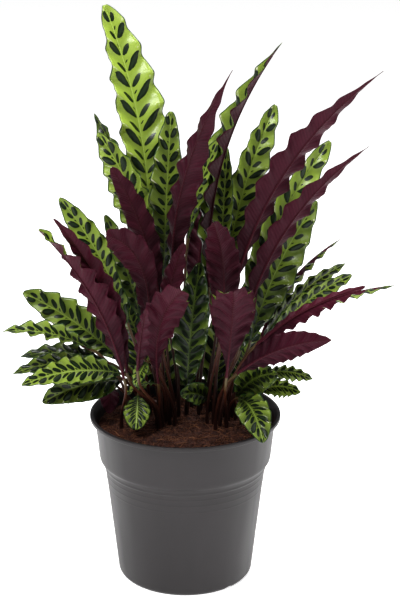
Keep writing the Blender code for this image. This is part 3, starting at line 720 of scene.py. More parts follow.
@dataclass
class Foliage:
    """The leaves, each a petiole with a rib that runs on under a thin waved blade.

    wave, crimp and scallop are how far a margin ripples up, crinkles and swells outwards, and dome
    how far a half is bowed, as shares of the width. skew leans the waves to the tip, and crest
    sharpens them. wave_slant and vein_slope slant the waves and the side veins. swells are the sizes
    and the counts of the slow changes in the waves, and wave_power and crest_power how fast a wave
    and the painted light and painted glints on its crest grow towards the margin. spacing crowds
    the columns near the midrib, and crowding the stations near the ends, which lie end_gap from
    them. rib_under is how deep the rib lies under the blade, as a share of its radius and in
    millimetres. heel_tone is the tone left at the heel, which grows to the full one over tone_from:
    a painted shade that darkens each blade towards its heel.
    """

    stem_z: float = 178.0
    sunk: float = 14.0
    stem_radius: float = 1.7
    heel_radius: float = 1.35
    rib_end: float = 0.16
    flare: tuple[float, float] = (0.5, 9.0)
    knee: tuple[float, float, float] = (0.35, 9.0, 6.0)
    knee_from: float = 40.0
    thickness: float = 0.5
    groove: tuple[float, float] = (0.22, 1.3)
    wave: float = 0.13
    waved_width: float = 44.0
    skew: float = 0.5
    crest: float = 1.6
    wave_slant: float = 0.04
    vein_slope: float = 0.82
    scallop: float = 0.09
    crimp: float = 0.10
    crimp_pace: float = 2.7
    dome: float = 0.22
    swells: tuple[tuple[float, float], ...] = ((0.16, 2.3), (0.10, 5.1))
    wave_power: float = 1.2
    crest_power: float = 0.3
    station: float = 2.0
    least_stations: int = 26
    end_gap: float = 0.004
    crowding: float = 0.10
    least_half_width: float = 0.35
    half_columns: int = 9
    spacing: tuple[float, float] = (0.42, 0.58)
    thinnest: float = 0.12
    sides: int = 10
    ring_gap: float = 5.0
    rib_reach: float = 0.93
    rib_rings: int = 34
    rib_under: tuple[float, float] = (0.92, 0.02)
    # Painted shade: the tone left at the heel of each blade, and where it grows back.
    heel_tone: float = 0.12
    tone_from: tuple[float, float] = (-0.05, 0.62)
    oval_pitch: float = 17.0
    slim_range: tuple[float, float] = (0.62, 1.05)
    inside_far: float = 20.0

    def guides(self, leaf: Leaf) -> tuple[tuple[np.ndarray, ...], tuple[np.ndarray, ...]]:
        """The control points of a leaf's petiole and of its midrib.

        Args:
            leaf: The leaf.

        Returns:
            Four points of the petiole's cubic curve and three of the midrib's quadratic one.
        """
        root = np.array([*leaf.root, self.stem_z])
        heel = np.array(leaf.heel, float)
        tip = np.array(leaf.tip, float)
        along = unit(tip - heel)
        lift = unit(UP - along * (UP @ along))
        bow = (heel + tip) / 2 + 2 * leaf.arch * lift + 2 * leaf.sway * np.cross(lift, along)
        reach = np.linalg.norm(heel - root)
        stem = (root, root + UP * reach * 0.4, heel - unit(bow - heel) * reach * 0.3, heel)
        return stem, (heel, bow, tip)

    def axes(self, leaf: Leaf, along: np.ndarray, t: np.ndarray) -> tuple[np.ndarray, np.ndarray]:
        """The upper face's normal and the way to the margin along the midrib.

        Args:
            leaf: The leaf.
            along: The midrib's tangents.
            t: Where along the midrib, from 0 to 1.

        Returns:
            The normals and the ways across.
        """
        front = unit(FACING - along * (along @ FACING)[:, None])
        right = np.cross(along, front)
        angle = np.radians(leaf.turn + leaf.twist * t * t)[:, None]
        normal = front * np.cos(angle) + right * np.sin(angle)
        return normal, np.cross(normal, along)

    def pleats(self, angle: np.ndarray) -> np.ndarray:
        """The leaning waves at an angle: 1 on a crest, -1 in a trough."""
        lean = angle + self.skew * (np.cos(angle) - 1)
        return 1 - 2 * np.abs(np.sin(lean / 2)) ** self.crest

    def blade(self, leaf: Leaf) -> Blade:
        """The middle surface of a leaf's blade.

        Args:
            leaf: The leaf.

        Returns:
            The surface with its measures.
        """
        _, midrib = self.guides(leaf)
        length = float(np.linalg.norm(midrib[2] - midrib[0]))
        count = max(self.least_stations, int(length / self.station))
        x = np.linspace(0, 1, count)
        x = x - self.crowding * np.sin(2 * np.pi * x) / (2 * np.pi)
        t = self.end_gap + (1 - 2 * self.end_gap) * x
        mid, along = quadratic(midrib, t)
        normal, aside = self.axes(leaf, along, t)
        share = np.sin(np.pi * t**leaf.belly) ** (1 + (leaf.point - 1) * t)
        half = np.maximum(leaf.width / 2 * share, self.least_half_width)

        x = np.linspace(-1, 1, 2 * self.half_columns + 1)
        v = np.sign(x) * (self.spacing[0] * np.abs(x) + self.spacing[1] * x * x)
        beat = np.random.default_rng(leaf.seed).uniform(0, 2 * np.pi, 4)
        away = np.abs(v)[None, :]
        tt = t[:, None]
        hh = half[:, None]
        phase = np.where(v < 0, 0.0, HALF_WAVE)[None, :]
        (slow, slow_count), (fast, fast_count) = self.swells
        swell = 1 + slow * np.sin(2 * np.pi * tt * slow_count + beat[0] + phase * 3)
        swell = swell + fast * np.sin(2 * np.pi * tt * fast_count + beat[1])
        pattern = leaf.waves * (tt - self.wave_slant + self.vein_slope * (1 - away) * hh / length)
        size = self.wave * min(leaf.width, self.waved_width) * share[:, None]
        pleat = self.pleats(2 * np.pi * (pattern + phase))
        edge_angle = 2 * np.pi * (leaf.waves * (tt - self.wave_slant) + phase)
        off = size * swell * away**self.wave_power * pleat
        off = off + self.crimp * size * away**4 * np.cos(self.crimp_pace * edge_angle + beat[2])
        off = off + self.dome * hh * away * (1 - away)
        hh = hh * (1 + self.scallop * self.pleats(edge_angle) * away**2)
        raised = math.radians(leaf.fold)
        out = v[None, :] * hh * math.cos(raised) - np.sign(v)[None, :] * off * math.sin(raised)
        up = away * hh * math.sin(raised) + off * math.cos(raised)
        points = mid[:, None, :] + aside[:, None, :] * out[:, :, None] + normal[:, None, :] * up[:, :, None]
        face = unit(np.cross(np.gradient(points, axis=1), np.gradient(points, axis=0)))
        face = face * np.sign((face * normal[:, None, :]).sum(-1, keepdims=True) + 1e-9)
        return Blade(
            points=points,
            normals=face,
            out=v[None, :] * hh,
            edge=(1 - away) * hh,
            run=tt * length + 0 * away,
            vein=tt * length - self.vein_slope * away * hh + 0 * away,
            pattern=pattern,
            height=away**self.crest_power * pleat + 0 * tt,
            slim=float(np.clip(self.oval_pitch / (length / leaf.waves), *self.slim_range)),
            t=t,
            v=v,
            mid=mid,
            normal=normal,
            along=along,
        )

    def stalk(self, leaf: Leaf, blade: Blade) -> Stalk:
        """The path of the petiole and of the rib under the blade.

        Args:
            leaf: The leaf.
            blade: Its blade.

        Returns:
            The path. The petiole flares at its foot, and a long one has a knee under the blade.
        """
        stem, _ = self.guides(leaf)
        reach = float(np.linalg.norm(stem[3] - stem[0]))
        s = np.linspace(0, 1, max(8, int(reach / self.ring_gap)))
        path, ways = cubic(stem, s)
        normals = [blade.normal[0]]
        for way in ways[::-1]:
            normals.append(unit(normals[-1] - way * (normals[-1] @ way)))
        normals = np.array(normals[:0:-1])
        radii = self.stem_radius + (self.heel_radius - self.stem_radius) * s
        radii = radii + self.flare[0] * np.exp(-((s * reach) / self.flare[1]) ** 2)
        if reach > self.knee_from:
            more, place, width = self.knee
            radii = radii + more * np.exp(-(((1 - s) * reach - place) / width) ** 2)
        foot = path[:1] - UP * self.sunk
        pick = np.unique(np.linspace(1, len(blade.t) * self.rib_reach, self.rib_rings).astype(int))
        t = blade.t[pick]
        rib = self.heel_radius * (1 - t) ** 1.1 + self.rib_end
        depth = rib * self.rib_under[0] + self.rib_under[1]
        under = blade.mid[pick] - blade.normal[pick] * depth[:, None]
        return Stalk(
            centres=np.concatenate([foot, path[:-1], under]),
            tangents=np.concatenate([ways[:1], ways[:-1], blade.along[pick]]),
            normals=np.concatenate([normals[:1], normals[:-1], blade.normal[pick]]),
            radii=np.concatenate([radii[:1], radii[:-1], rib]),
            rise=np.concatenate([[0.0], s[:-1], 1 + t]),
        )

    def skin(self, blade: Blade) -> list[tuple[tuple[int, ...], Face, int]]:
        """The blade's two faces and its closed rim.

        Args:
            blade: The blade.

        Returns:
            For each face its points, its finish, and 0 or 1 for the half of the blade.
        """
        rows, columns = blade.points.shape[:2]
        sheet = rows * columns
        halves = [0 if v < -1e-9 else 1 for v in blade.v]
        found: list[tuple[tuple[int, ...], Face, int]] = []
        for i in range(rows - 1):
            for j in range(columns - 1):
                a = i * columns + j
                quad = (a, a + 1, a + columns + 1, a + columns)
                found.append(((quad[0], quad[3], quad[2], quad[1]), Face.UPPER, halves[j]))
                found.append((tuple(k + sheet for k in quad), Face.UNDERSIDE, halves[j]))
            for j, order in ((0, 1), (columns - 1, -1)):
                a = i * columns + j
                quad = (a, a + columns, a + columns + sheet, a + sheet)
                found.append((quad[::-order], Face.UNDERSIDE, 0 if j == 0 else 1))
        for i, order in ((0, -1), (rows - 1, 1)):
            for j in range(columns - 1):
                a = i * columns + j
                quad = (a, a + 1, a + 1 + sheet, a + sheet)
                found.append((quad[::-order], Face.UNDERSIDE, halves[j]))
        return found

    def tube(self, stalk: Stalk, start: int) -> list[tuple[tuple[int, ...], Face, int]]:
        """The petiole and the rib as one tube closed at both ends.

        Args:
            stalk: The path.
            start: The number of the tube's first point.

        Returns:
            Faces as skin gives them.
        """
        n = self.sides
        last = start + (len(stalk.centres) - 1) * n
        found: list[tuple[tuple[int, ...], Face, int]] = []
        for i, rise in enumerate(stalk.rise[:-1]):
            for k in range(n):
                a = start + i * n + k
                b = start + i * n + (k + 1) % n
                found.append(((a, b, b + n, a + n), Face.UNDERSIDE if rise >= 1 else Face.PETIOLE, 0))
        found.append((tuple(range(start, start + n))[::-1], Face.PETIOLE, 0))
        found.append((tuple(range(last, last + n)), Face.UNDERSIDE, 0))
        return found

    def build(self, leaf: Leaf, materials: list[bpy.types.Material]) -> bpy.types.Object:
        """One leaf as a mesh with its finishes and the measures that they read.

        Args:
            leaf: The leaf.
            materials: The upper face's, the underside's and the petiole's finish.

        Returns:
            The leaf's object.
        """
        blade = self.blade(leaf)
        away = np.abs(blade.v)
        thin = self.thickness / 2 * np.sqrt(np.clip(1 + self.thinnest - away**6, self.thinnest, 1))
        groove = self.groove[0] * np.exp(-((blade.out / self.groove[1]) ** 2))
        top = blade.points + blade.normals * (thin[None, :] - groove)[:, :, None]
        low = blade.points - blade.normals * thin[None, :, None]

        stalk = self.stalk(leaf, blade)
        asides = np.cross(stalk.normals, stalk.tangents)[:, None, :]
        ups = stalk.normals[:, None, :]
        turns = (np.arange(self.sides) * 2 * np.pi / self.sides)[None, :, None]
        ring = asides * np.cos(turns) + ups * np.sin(turns)
        tube = stalk.centres[:, None, :] + ring * stalk.radii[:, None, None]
        points = np.concatenate([top.reshape(-1, 3), low.reshape(-1, 3), tube.reshape(-1, 3)])

        found = self.skin(blade) + self.tube(stalk, 2 * blade.out.size)
        obj = mesh_object(leaf.name, points, [points_of for points_of, _, _ in found], materials)
        obj.data.polygons.foreach_set("material_index", [face.value for _, face, _ in found])
        self.measure(leaf, blade, stalk, obj.data, np.array([half for _, _, half in found]))
        return obj

    def measure(
        self, leaf: Leaf, blade: Blade, stalk: Stalk, mesh: bpy.types.Mesh, halves: np.ndarray
    ) -> None:
        """Writes the attributes and the two UV maps that the finishes read.

        Args:
            leaf: The leaf.
            blade: Its blade.
            stalk: Its petiole's path.
            mesh: Its mesh.
            halves: 0 or 1 for the half of the blade that each face lies on.
        """
        rows, columns = blade.out.shape
        blank = np.zeros((len(stalk.centres), self.sides))
        steps = np.linalg.norm(np.diff(stalk.centres, axis=0), axis=1)
        run = blank + np.concatenate([[0], np.cumsum(steps)])[:, None]
        # Painted shade: each leaf is drawn at its tone, and darker still towards the heel.
        fade = leaf.tone * (self.heel_tone + (1 - self.heel_tone) * ramp(blade.t, *self.tone_from))
        whole = np.ones(blade.out.shape)
        # What each point of the blade has, and then what each point of the stalk has.
        layers = {
            "tone": (np.repeat(fade, columns), blank + leaf.tone),
            "edge": (blade.edge, blank + self.inside_far),
            "vein": (blade.vein, run),
            "from_rib": (np.abs(blade.out), blank),
            "rise": (whole * 1.5, blank + stalk.rise[:, None]),
            "slim": (whole * blade.slim, blank),
            "height": (blade.height, blank),
        }
        for name, (first, second) in layers.items():
            layer = mesh.attributes.new(name, "FLOAT", "POINT")
            layer.data.foreach_set("value", np.concatenate([first.ravel(), first.ravel(), second.ravel()]))

        loops = np.empty(len(mesh.loops), np.int64)
        mesh.loops.foreach_get("vertex_index", loops)
        totals = np.empty(len(mesh.polygons), np.int64)
        mesh.polygons.foreach_get("loop_total", totals)
        behind = np.where(np.repeat(halves, totals) == 0, 0.0, HALF_WAVE)
        x = np.concatenate([np.tile(np.abs(blade.v), rows)] * 2 + [blank.ravel()])
        y = np.concatenate([blade.pattern.ravel()] * 2 + [blank.ravel()])
        pattern = np.stack([x[loops], y[loops] + behind], 1)
        mesh.uv_layers.new(name="Pattern").data.foreach_set("uv", pattern.ravel())
        turns = blank + (np.arange(self.sides) * 2 * np.pi / self.sides)[None, :] * 2.0
        x = np.concatenate([blade.out.ravel()] * 2 + [turns.ravel()])
        y = np.concatenate([blade.run.ravel()] * 2 + [run.ravel()])
        # Each leaf reads its own stretch of the noise, so no two leaves are alike.
        span = np.stack([x[loops] * MM, y[loops] * MM + leaf.seed * 0.013], 1)
        mesh.uv_layers.new(name="Span").data.foreach_set("uv", span.ravel())


def group(name: str, inputs: dict[str, str]) -> tuple[bpy.types.NodeTree, bpy.types.bpy_prop_collection]:
    """A new node group that takes geometry with named inputs and gives geometry.

    Args:
        name: The group's name.
        inputs: The kind of each input by its name, as Blender has it after NodeSocket.

    Returns:
        The group, and its inputs as sockets to link from.
    """
    tree = bpy.data.node_groups.new(name, "GeometryNodeTree")
    for key, kind in {"Geometry": "Geometry", **inputs}.items():
        tree.interface.new_socket(name=key, in_out="INPUT", socket_type="NodeSocket" + kind)
    tree.interface.new_socket(name="Geometry", in_out="OUTPUT", socket_type="NodeSocketGeometry")
    return tree, add(tree, "NodeGroupInput").outputs


def evaluated(host: bpy.types.Object) -> bpy.types.Mesh:
    """A new plain mesh of what an object's modifiers make of it."""
    bpy.context.view_layer.update()
    graph = bpy.context.evaluated_depsgraph_get()
    return bpy.data.meshes.new_from_object(host.evaluated_get(graph), depsgraph=graph)


def grown(
    host: bpy.types.Object, name: str, tree: bpy.types.NodeTree, sizes: dict[str, object]
) -> bpy.types.Object:
    """What a node group makes of an object, as a plain mesh of its own.

    Args:
        host: The object that the group reads.
        name: The new object's name.
        tree: The node group.
        sizes: Values of the group's inputs by name.

    Returns:
        The new linked object, with no modifier left on either.
    """
    modifier = host.modifiers.new(name, "NODES")
    modifier.node_group = tree
    for item in tree.interface.items_tree:
        if item.item_type == "SOCKET" and item.in_out == "INPUT" and item.name in sizes:
            modifier[item.identifier] = sizes[item.name]
    mesh = evaluated(host)
    host.modifiers.remove(modifier)
    mesh.name = name
    return linked(name, mesh)


def finished(piece: bpy.types.Object, slot: str, *nodes: str) -> None:
    """Puts a piece on the part's one body, hides the nodes that it stands for, and reports it.

    Args:
        piece: The piece.
        slot: The record's material slot; not used.
        nodes: The nodes that the piece replaces.
    """
    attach(piece, "root")
    if nodes:
        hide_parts(*nodes)
    LOG.info("%s: %d faces", piece.name, len(piece.data.polygons))


@dataclass(frozen=True)
class Rods:
    """Rods placed evenly on a ring, which cut the pot's openings.

    height is that of their middles, turn the angle of the first one in degrees, and lying means that
    they point outwards.
    """

    count: int
    ring: float
    radius: float
    height: float
    turn: float
    lying: bool
    depth: float = 20.0

    def tree(self) -> bpy.types.NodeTree:
        """The node group that places the rods."""
        kinds = dict.fromkeys(("Ring", "Radius", "Depth", "Height", "Turn"), "Float")
        tree, given = group("rods_on_a_ring", {**kinds, "Count": "Int", "Tilt": "Vector"})
        sizes = {"Vertices": 32, "Radius": given["Radius"], "Depth": given["Depth"]}
        rod = add(tree, "GeometryNodeMeshCylinder", sizes)
        step = add(tree, MATH, (2 * math.pi, given["Count"]), operation="DIVIDE")
        number = add(tree, "GeometryNodeInputIndex")
        angle = add(tree, MATH, (number, step, given["Turn"]), operation="MULTIPLY_ADD")
        sides = []
        for share in ("COSINE", "SINE"):
            part = add(tree, MATH, (angle,), operation=share)
            sides.append(add(tree, MATH, (part, given["Ring"]), operation="MULTIPLY"))
        place = add(tree, "ShaderNodeCombineXYZ", (*sides, given["Height"]))
        points = add(tree, "GeometryNodePoints", {"Count": given["Count"], "Position": place})
        spin = add(tree, "ShaderNodeCombineXYZ", {2: angle})
        tilt = add(tree, VECTOR, (spin, given["Tilt"]), operation="ADD")
        placing = {"Points": points, "Instance": rod, "Rotation": tilt}
        placed = add(tree, "GeometryNodeInstanceOnPoints", placing)
        real = add(tree, "GeometryNodeRealizeInstances", (placed,))
        add(tree, "NodeGroupOutput", (add(tree, "GeometryNodeSetMaterial", {"Geometry": real}),))
        return tree

    def build(self) -> bpy.types.Object:
        """The rods as one object."""
        host = linked("rods_host", bpy.data.meshes.new("rods_host"))
        sizes = {
            "Ring": self.ring * MM,
            "Radius": self.radius * MM,
            "Depth": self.depth * MM,
            "Height": self.height * MM,
            "Turn": math.radians(self.turn),
            "Count": self.count,
            "Tilt": (0.0, math.pi / 2 if self.lying else 0.0, 0.0),
        }
        rods = grown(host, "rods", self.tree(), sizes)
        bpy.data.objects.remove(host)
        return rods


@dataclass
class NurseryPot:
    """The round pot: a tapered body, a collar over it and a rolled lip, open at the top.

    outside runs from the axis out and up, and inside back down, as radii and heights. Fine stacking
    rings circle the body between heights of 104 and 130.
    """

    outside: tuple[tuple[float, float], ...] = (
        (0, 0), (24, 0), (27, 3), (60, 3), (63, 0), (72.5, 0), (74.9, 3.2), (86.2, 104), (86.5, 105),
        (86.45, 106.2), (87.35, 112), (87.65, 113), (87.55, 114.2), (88.15, 119.2), (88.5, 120.2),
        (88.4, 121.4), (89.05, 125.6), (90.2, 127.2), (90.1, 129.4), (91.5, 133), (94.4, 136.4),
        (95.0, 139.2), (99.5, 182.2), (105, 183.4), (105, 187.9), (101.7, 188),
    )  # fmt: skip
    inside: tuple[tuple[float, float], ...] = (
        (97.9, 181.4), (93, 138.2), (90.2, 135), (87.4, 125), (73.2, 4.6), (72.4, 2), (63.6, 2),
        (60.6, 5), (26.6, 5), (23.6, 2), (0, 2),
    )  # fmt: skip
    sides: int = 160
    round_off: float = 1.1
    straight: float = 0.02
    sharp: float = 40.0
    drains: Rods = Rods(count=8, ring=43.0, radius=5.5, height=4.0, turn=22.5, lying=False)
    notches: Rods = Rods(count=3, ring=77.0, radius=7.5, height=-4.9, turn=-49.2, lying=True)

    def profile(self) -> list[tuple[float, float]]:
        """The wall's outline from the axis out, over the lip and back, with its corners rounded off.

        Returns:
            Radii and heights in millimetres.
        """
        corners = [np.array(p, float) for p in (*self.outside, *self.inside)]
        line = [tuple(corners[0])]
        for before, corner, after in zip(corners, corners[1:], corners[2:]):
            first, second = before - corner, after - corner
            room = min(np.linalg.norm(first), np.linalg.norm(second)) * 0.45
            if abs(float(np.cross(unit(first), unit(second)))) < self.straight:
                line.append(tuple(corner))
                continue
            cut = min(self.round_off, room)
            start, end = corner + unit(first) * cut, corner + unit(second) * cut
            for k in range(4):
                t = k / 3
                line.append(tuple((1 - t) ** 2 * start + 2 * t * (1 - t) * corner + t * t * end))
        line.append(tuple(corners[-1]))
        return line

    def wall(self) -> bpy.types.Mesh:
        """The profile turned round the axis, as one closed skin."""
        bm = bmesh.new()
        verts = [bm.verts.new((r * MM, 0, z * MM)) for r, z in self.profile()]
        edges = [bm.edges.new(pair) for pair in zip(verts, verts[1:])]
        about = {"cent": (0, 0, 0), "axis": (0, 0, 1), "angle": 2 * math.pi}
        bmesh.ops.spin(bm, geom=verts + edges, steps=self.sides, use_merge=True, **about)
        bmesh.ops.remove_doubles(bm, verts=bm.verts, dist=1e-6)
        bmesh.ops.recalc_face_normals(bm, faces=bm.faces)
        mesh = bpy.data.meshes.new("nursery_pot")
        bm.to_mesh(mesh)
        bm.free()
        return mesh

    def build(self, plastic: bpy.types.Material) -> bpy.types.Object:
        """The pot as one closed wall with its drain holes and the notches of its foot.

        Args:
            plastic: The pot's finish.

        Returns:
            The pot's object.
        """
        mesh = self.wall()
        mesh.materials.append(plastic)
        pot = linked("nursery_pot", mesh)
        cutters = [self.drains.build(), self.notches.build()]
        for rods in cutters:
            modifier = pot.modifiers.new("cut", "BOOLEAN")
            modifier.operation, modifier.solver, modifier.object = "DIFFERENCE", "EXACT", rods
        cut = evaluated(pot)
        pot.modifiers.clear()
        pot.data = cut
        for rods in cutters:
            bpy.data.objects.remove(rods)
        cut.shade_smooth()
        cut.set_sharp_from_angle(angle=math.radians(self.sharp))
        finished(pot, "pot_plastic", "pot")
        return pot


@dataclass
class PottingMix:
    """Peat with coir: a rough low dome with crumbs and loose fibres on it.

    wall is the side of the plug as radii and heights, from the bottom up. lumps are the sizes and
    heights of the hummocks, and the sizes of crumbs and fibres are their smallest and largest.
    Nothing lies below strewn_from, or where the normal's rise is under steepest. any_turn, a full
    turn, and fibre_tilt are radians.
    """

    wall: tuple[tuple[float, float], ...] = (
        (72.4, 5.4), (86.9, 125.0), (89.7, 135.4), (92.5, 138.5), (96.5, 171.0),
    )  # fmt: skip
    edge_height: float = 171.0
    top_height: float = 176.2
    highest: float = 177.6
    rings: int = 62
    sides: int = 180
    lump: float = 1.5
    lumps: tuple[tuple[float, float], ...] = ((30.0, 0.9), (13.0, 0.75), (6.5, 0.6), (3.4, 0.5))
    waves_a_lump: int = 9
    calm_edge: float = 6.0
    crumbs_each_cm2: float = 16.0
    crumb_sizes: tuple[float, float] = (0.9, 3.4)
    fibres_each_cm2: float = 2.6
    fibre_sizes: tuple[float, float] = (6.0, 21.0)
    fibre_radius: float = 0.28
    strewn_from: float = 169.0
    steepest: float = 0.3
    any_turn: float = 6.283
    fibre_tilt: float = 0.25
    wall_gap: float = 0.6
    sunk: float = 1.5

    def hummocks(self, x: np.ndarray, y: np.ndarray) -> np.ndarray:
        """The lumpy relief of the mix's top.

        Args:
            x: Where to read it.
            y: Where to read it.

        Returns:
            Heights in millimetres.
        """
        rng = np.random.default_rng(SEED)
        rough = np.zeros_like(x)
        for size, height in self.lumps:
            for _ in range(self.waves_a_lump):
                way = rng.normal(size=2)
                way = way / np.linalg.norm(way) * 2 * np.pi / (size * rng.uniform(0.8, 1.25))
                rough += height / 3 * np.sin(x * way[0] + y * way[1] + rng.uniform(0, 6.28))
        return rough

    def dome(self, peat: bpy.types.Material) -> bpy.types.Object:
        """The bulk of the mix, whose top is lumpy.

        Args:
            peat: The finish.

        Returns:
            The object, closed and as deep as the pot.
        """
        radius = self.wall[-1][0]
        r = (np.linspace(0, 1, self.rings + 1)[1:] * radius)[:, None]
        a = np.arange(self.sides) * 2 * np.pi / self.sides
        x, y = r * np.cos(a), r * np.sin(a)
        z = self.edge_height + (self.top_height - self.edge_height) * (1 - (r / radius) ** 2) + 0 * a
        fade = ramp(radius - r + 0 * a, 0.0, self.calm_edge)
        z = z + self.lump * self.hummocks(x, y) / 1.6 * (0.25 + 0.75 * fade)
        z = np.minimum(z, self.highest)
        points = [np.array([[0, 0, float(z[0].mean())]]), np.stack([x, y, z], -1).reshape(-1, 3)]
        for wall_r, wall_z in self.wall[-2::-1]:
            points.append(np.stack([wall_r * np.cos(a), wall_r * np.sin(a), wall_z + 0 * a], -1))
        points.append(np.array([[0, 0, self.wall[0][1]]]))
        points = np.concatenate(points)
        rows = (len(points) - 2) // self.sides
        faces: list[tuple[int, ...]] = []
        for k in range(self.sides):
            n = (k + 1) % self.sides
            faces.append((0, 1 + k, 1 + n))
            for p in range(1, 1 + (rows - 1) * self.sides, self.sides):
                q = p + self.sides
                faces.append((p + k, q + k, q + n, p + n))
            p = 1 + (rows - 1) * self.sides
            faces.append((p + k, len(points) - 1, p + n))
        return mesh_object("potting_mix", points, faces, [peat])

    def crumb(
        self, tree: bpy.types.NodeTree, given: bpy.types.bpy_prop_collection
    ) -> tuple[bpy.types.Node, bpy.types.Node, bpy.types.Node]:
        """A knobbly crumb.

        Args:
            tree: The node group.
            given: Its inputs.

        Returns:
            The crumb at a size of 1, its random turn and its random size.
        """
        turns = {0: (0.0, 0.0, 0.0), 1: (self.any_turn,) * 3, "Seed": 3}
        tilt = add(tree, RANDOM, turns, data_type="FLOAT_VECTOR")
        ball = add(tree, "GeometryNodeMeshIcoSphere", {"Radius": 0.5, "Subdivisions": 2})
        noise = add(tree, NOISE, {"Scale": 2.3, "Detail": 1.0})
        shift = add(tree, VECTOR, (noise.outputs["Color"], MIDDLE_GREY), operation="SUBTRACT")
        shape = add(tree, "GeometryNodeSetPosition", {"Geometry": ball, "Offset": shift})
        least, most = (add(tree, "ShaderNodeCombineXYZ", [given[key]] * 3) for key in ("Smallest", "Largest"))
        size = add(tree, RANDOM, {0: least, 1: most, "Seed": 5}, data_type="FLOAT_VECTOR")
        return shape, tilt, size

    def fibre(
        self, tree: bpy.types.NodeTree, given: bpy.types.bpy_prop_collection
    ) -> tuple[bpy.types.Node, bpy.types.Node, bpy.types.Node]:
        """A straight line for a fibre to follow, nearly level.

        Args:
            tree: The node group.
            given: Its inputs.

        Returns:
            The line at a length of 1, its random turn and its random length.
        """
        lean = self.fibre_tilt
        turns = {0: (-lean, -lean, 0.0), 1: (lean, lean, self.any_turn), "Seed": 3}
        tilt = add(tree, RANDOM, turns, data_type="FLOAT_VECTOR")
        ends = {"Start": (-0.5, 0.0, 0.0), "End": (0.5, 0.0, 0.0)}
        line = add(tree, "GeometryNodeCurvePrimitiveLine", ends)
        size = add(tree, RANDOM, {2: given["Smallest"], 3: given["Largest"], "Seed": 5}, data_type="FLOAT")
        return line, tilt, size

    def curled(self, tree: bpy.types.NodeTree, lines: bpy.types.Node) -> bpy.types.Node:
        """Fibres bent by noise along the lines given.

        Args:
            tree: The node group.
            lines: The lines.

        Returns:
            The fibres as a mesh.
        """
        finer = add(tree, "GeometryNodeResampleCurve", {"Curve": lines, "Count": 9})
        where = add(tree, "GeometryNodeInputPosition")
        noise = add(tree, NOISE, {"Vector": where, "Scale": 95.0, "Detail": 1.5})
        # The middle of the noise is taken a little low in Z, so that most fibres arch upwards.
        shift = add(tree, VECTOR, (noise.outputs["Color"], (0.5, 0.5, 0.44)), operation="SUBTRACT")
        shift = add(tree, VECTOR, (shift, (0.018, 0.018, 0.009)), operation="MULTIPLY")
        bent = add(tree, "GeometryNodeSetPosition", {"Geometry": finer, "Offset": shift})
        size = {"Resolution": 4, "Radius": self.fibre_radius * MM}
        hair = add(tree, "GeometryNodeCurvePrimitiveCircle", size, mode="RADIUS")
        mesh = add(tree, "GeometryNodeCurveToMesh", {"Curve": bent, "Profile Curve": hair, "Fill Caps": True})
        return add(tree, "GeometryNodeRealizeInstances", (mesh,))

    def scatter(self, strewn: Strewn) -> bpy.types.NodeTree:
        """A node group that strews the dome's top with crumbs or with fibres.

        Args:
            strewn: Which of the two.

        Returns:
            The group. Its inputs are the density, the sizes, the seed and the finish.
        """
        kinds = dict.fromkeys(("Density", "Smallest", "Largest", "Lowest"), "Float")
        tree, given = group(strewn.value, {**kinds, "Seed": "Int", "Material": "Material"})
        height = add(tree, "ShaderNodeSeparateXYZ", (add(tree, "GeometryNodeInputPosition"),))
        up = add(tree, "ShaderNodeSeparateXYZ", (add(tree, "GeometryNodeInputNormal"),))
        tests = ((height.outputs[2], given["Lowest"]), (up.outputs[2], self.steepest))
        both = [add(tree, "FunctionNodeCompare", test, operation="GREATER_THAN") for test in tests]
        top = add(tree, "FunctionNodeBooleanMath", both, operation="AND")
        places = {
            "Mesh": given["Geometry"],
            "Selection": top,
            "Density": given["Density"],
            "Seed": given["Seed"],
        }
        spread = add(tree, "GeometryNodeDistributePointsOnFaces", places)
        fibres = strewn is Strewn.FIBRES
        shape, tilt, size = (self.fibre if fibres else self.crumb)(tree, given)
        placing = {"Points": spread, "Instance": shape, "Rotation": tilt, "Scale": size}
        placed = add(tree, "GeometryNodeInstanceOnPoints", placing)
        real = add(tree, "GeometryNodeRealizeInstances", (placed,))
        if fibres:
            real = self.curled(tree, real)
        dressed = add(tree, "GeometryNodeSetMaterial", {"Geometry": real, "Material": given["Material"]})
        add(tree, "NodeGroupOutput", (dressed,))
        return tree

    def build(self, finish: PeatAndCoir) -> None:
        """The dome with its crumbs and fibres.

        Args:
            finish: The mix's finish.
        """
        peat, coir = finish.material(False), finish.material(True)
        dome = self.dome(peat)
        loose = []
        for strewn, each_cm2, sizes, seed, material in (
            (Strewn.CRUMBS, self.crumbs_each_cm2, self.crumb_sizes, SEED, peat),
            (Strewn.FIBRES, self.fibres_each_cm2, self.fibre_sizes, SEED + 1, coir),
        ):
            values = {
                "Density": each_cm2 * CM2_A_M2,
                "Smallest": sizes[0] * MM,
                "Largest": sizes[1] * MM,
                "Lowest": self.strewn_from * MM,
                "Seed": seed,
                "Material": material,
            }
            loose.append(grown(dome, strewn.value, self.scatter(strewn), values))
        for piece in loose:
            self.keep_inside(piece)
        finished(dome, "potting_soil", "soil")
        for piece in loose:
            finished(piece, "potting_soil")

    def keep_inside(self, piece: bpy.types.Object) -> None:
        """Draws any point past the pot's wall back inside it, and lifts any below the mix's edge."""
        points = np.empty(len(piece.data.vertices) * 3, np.float32)
        piece.data.vertices.foreach_get("co", points)
        points = points.reshape(-1, 3)
        far = np.linalg.norm(points[:, :2], axis=1)
        most = (self.wall[-1][0] - self.wall_gap) * MM
        points[:, :2] *= np.minimum(1, most / np.maximum(far, 1e-6))[:, None]
        points[:, 2] = np.maximum(points[:, 2], (self.edge_height - self.sunk) * MM)
        piece.data.vertices.foreach_set("co", points.ravel())
        piece.data.update()


@dataclass(frozen=True)
class Panel:
    """A round soft light. place and size are metres."""

    name: str
    place: tuple[float, float, float]
    size: float
    watts: float


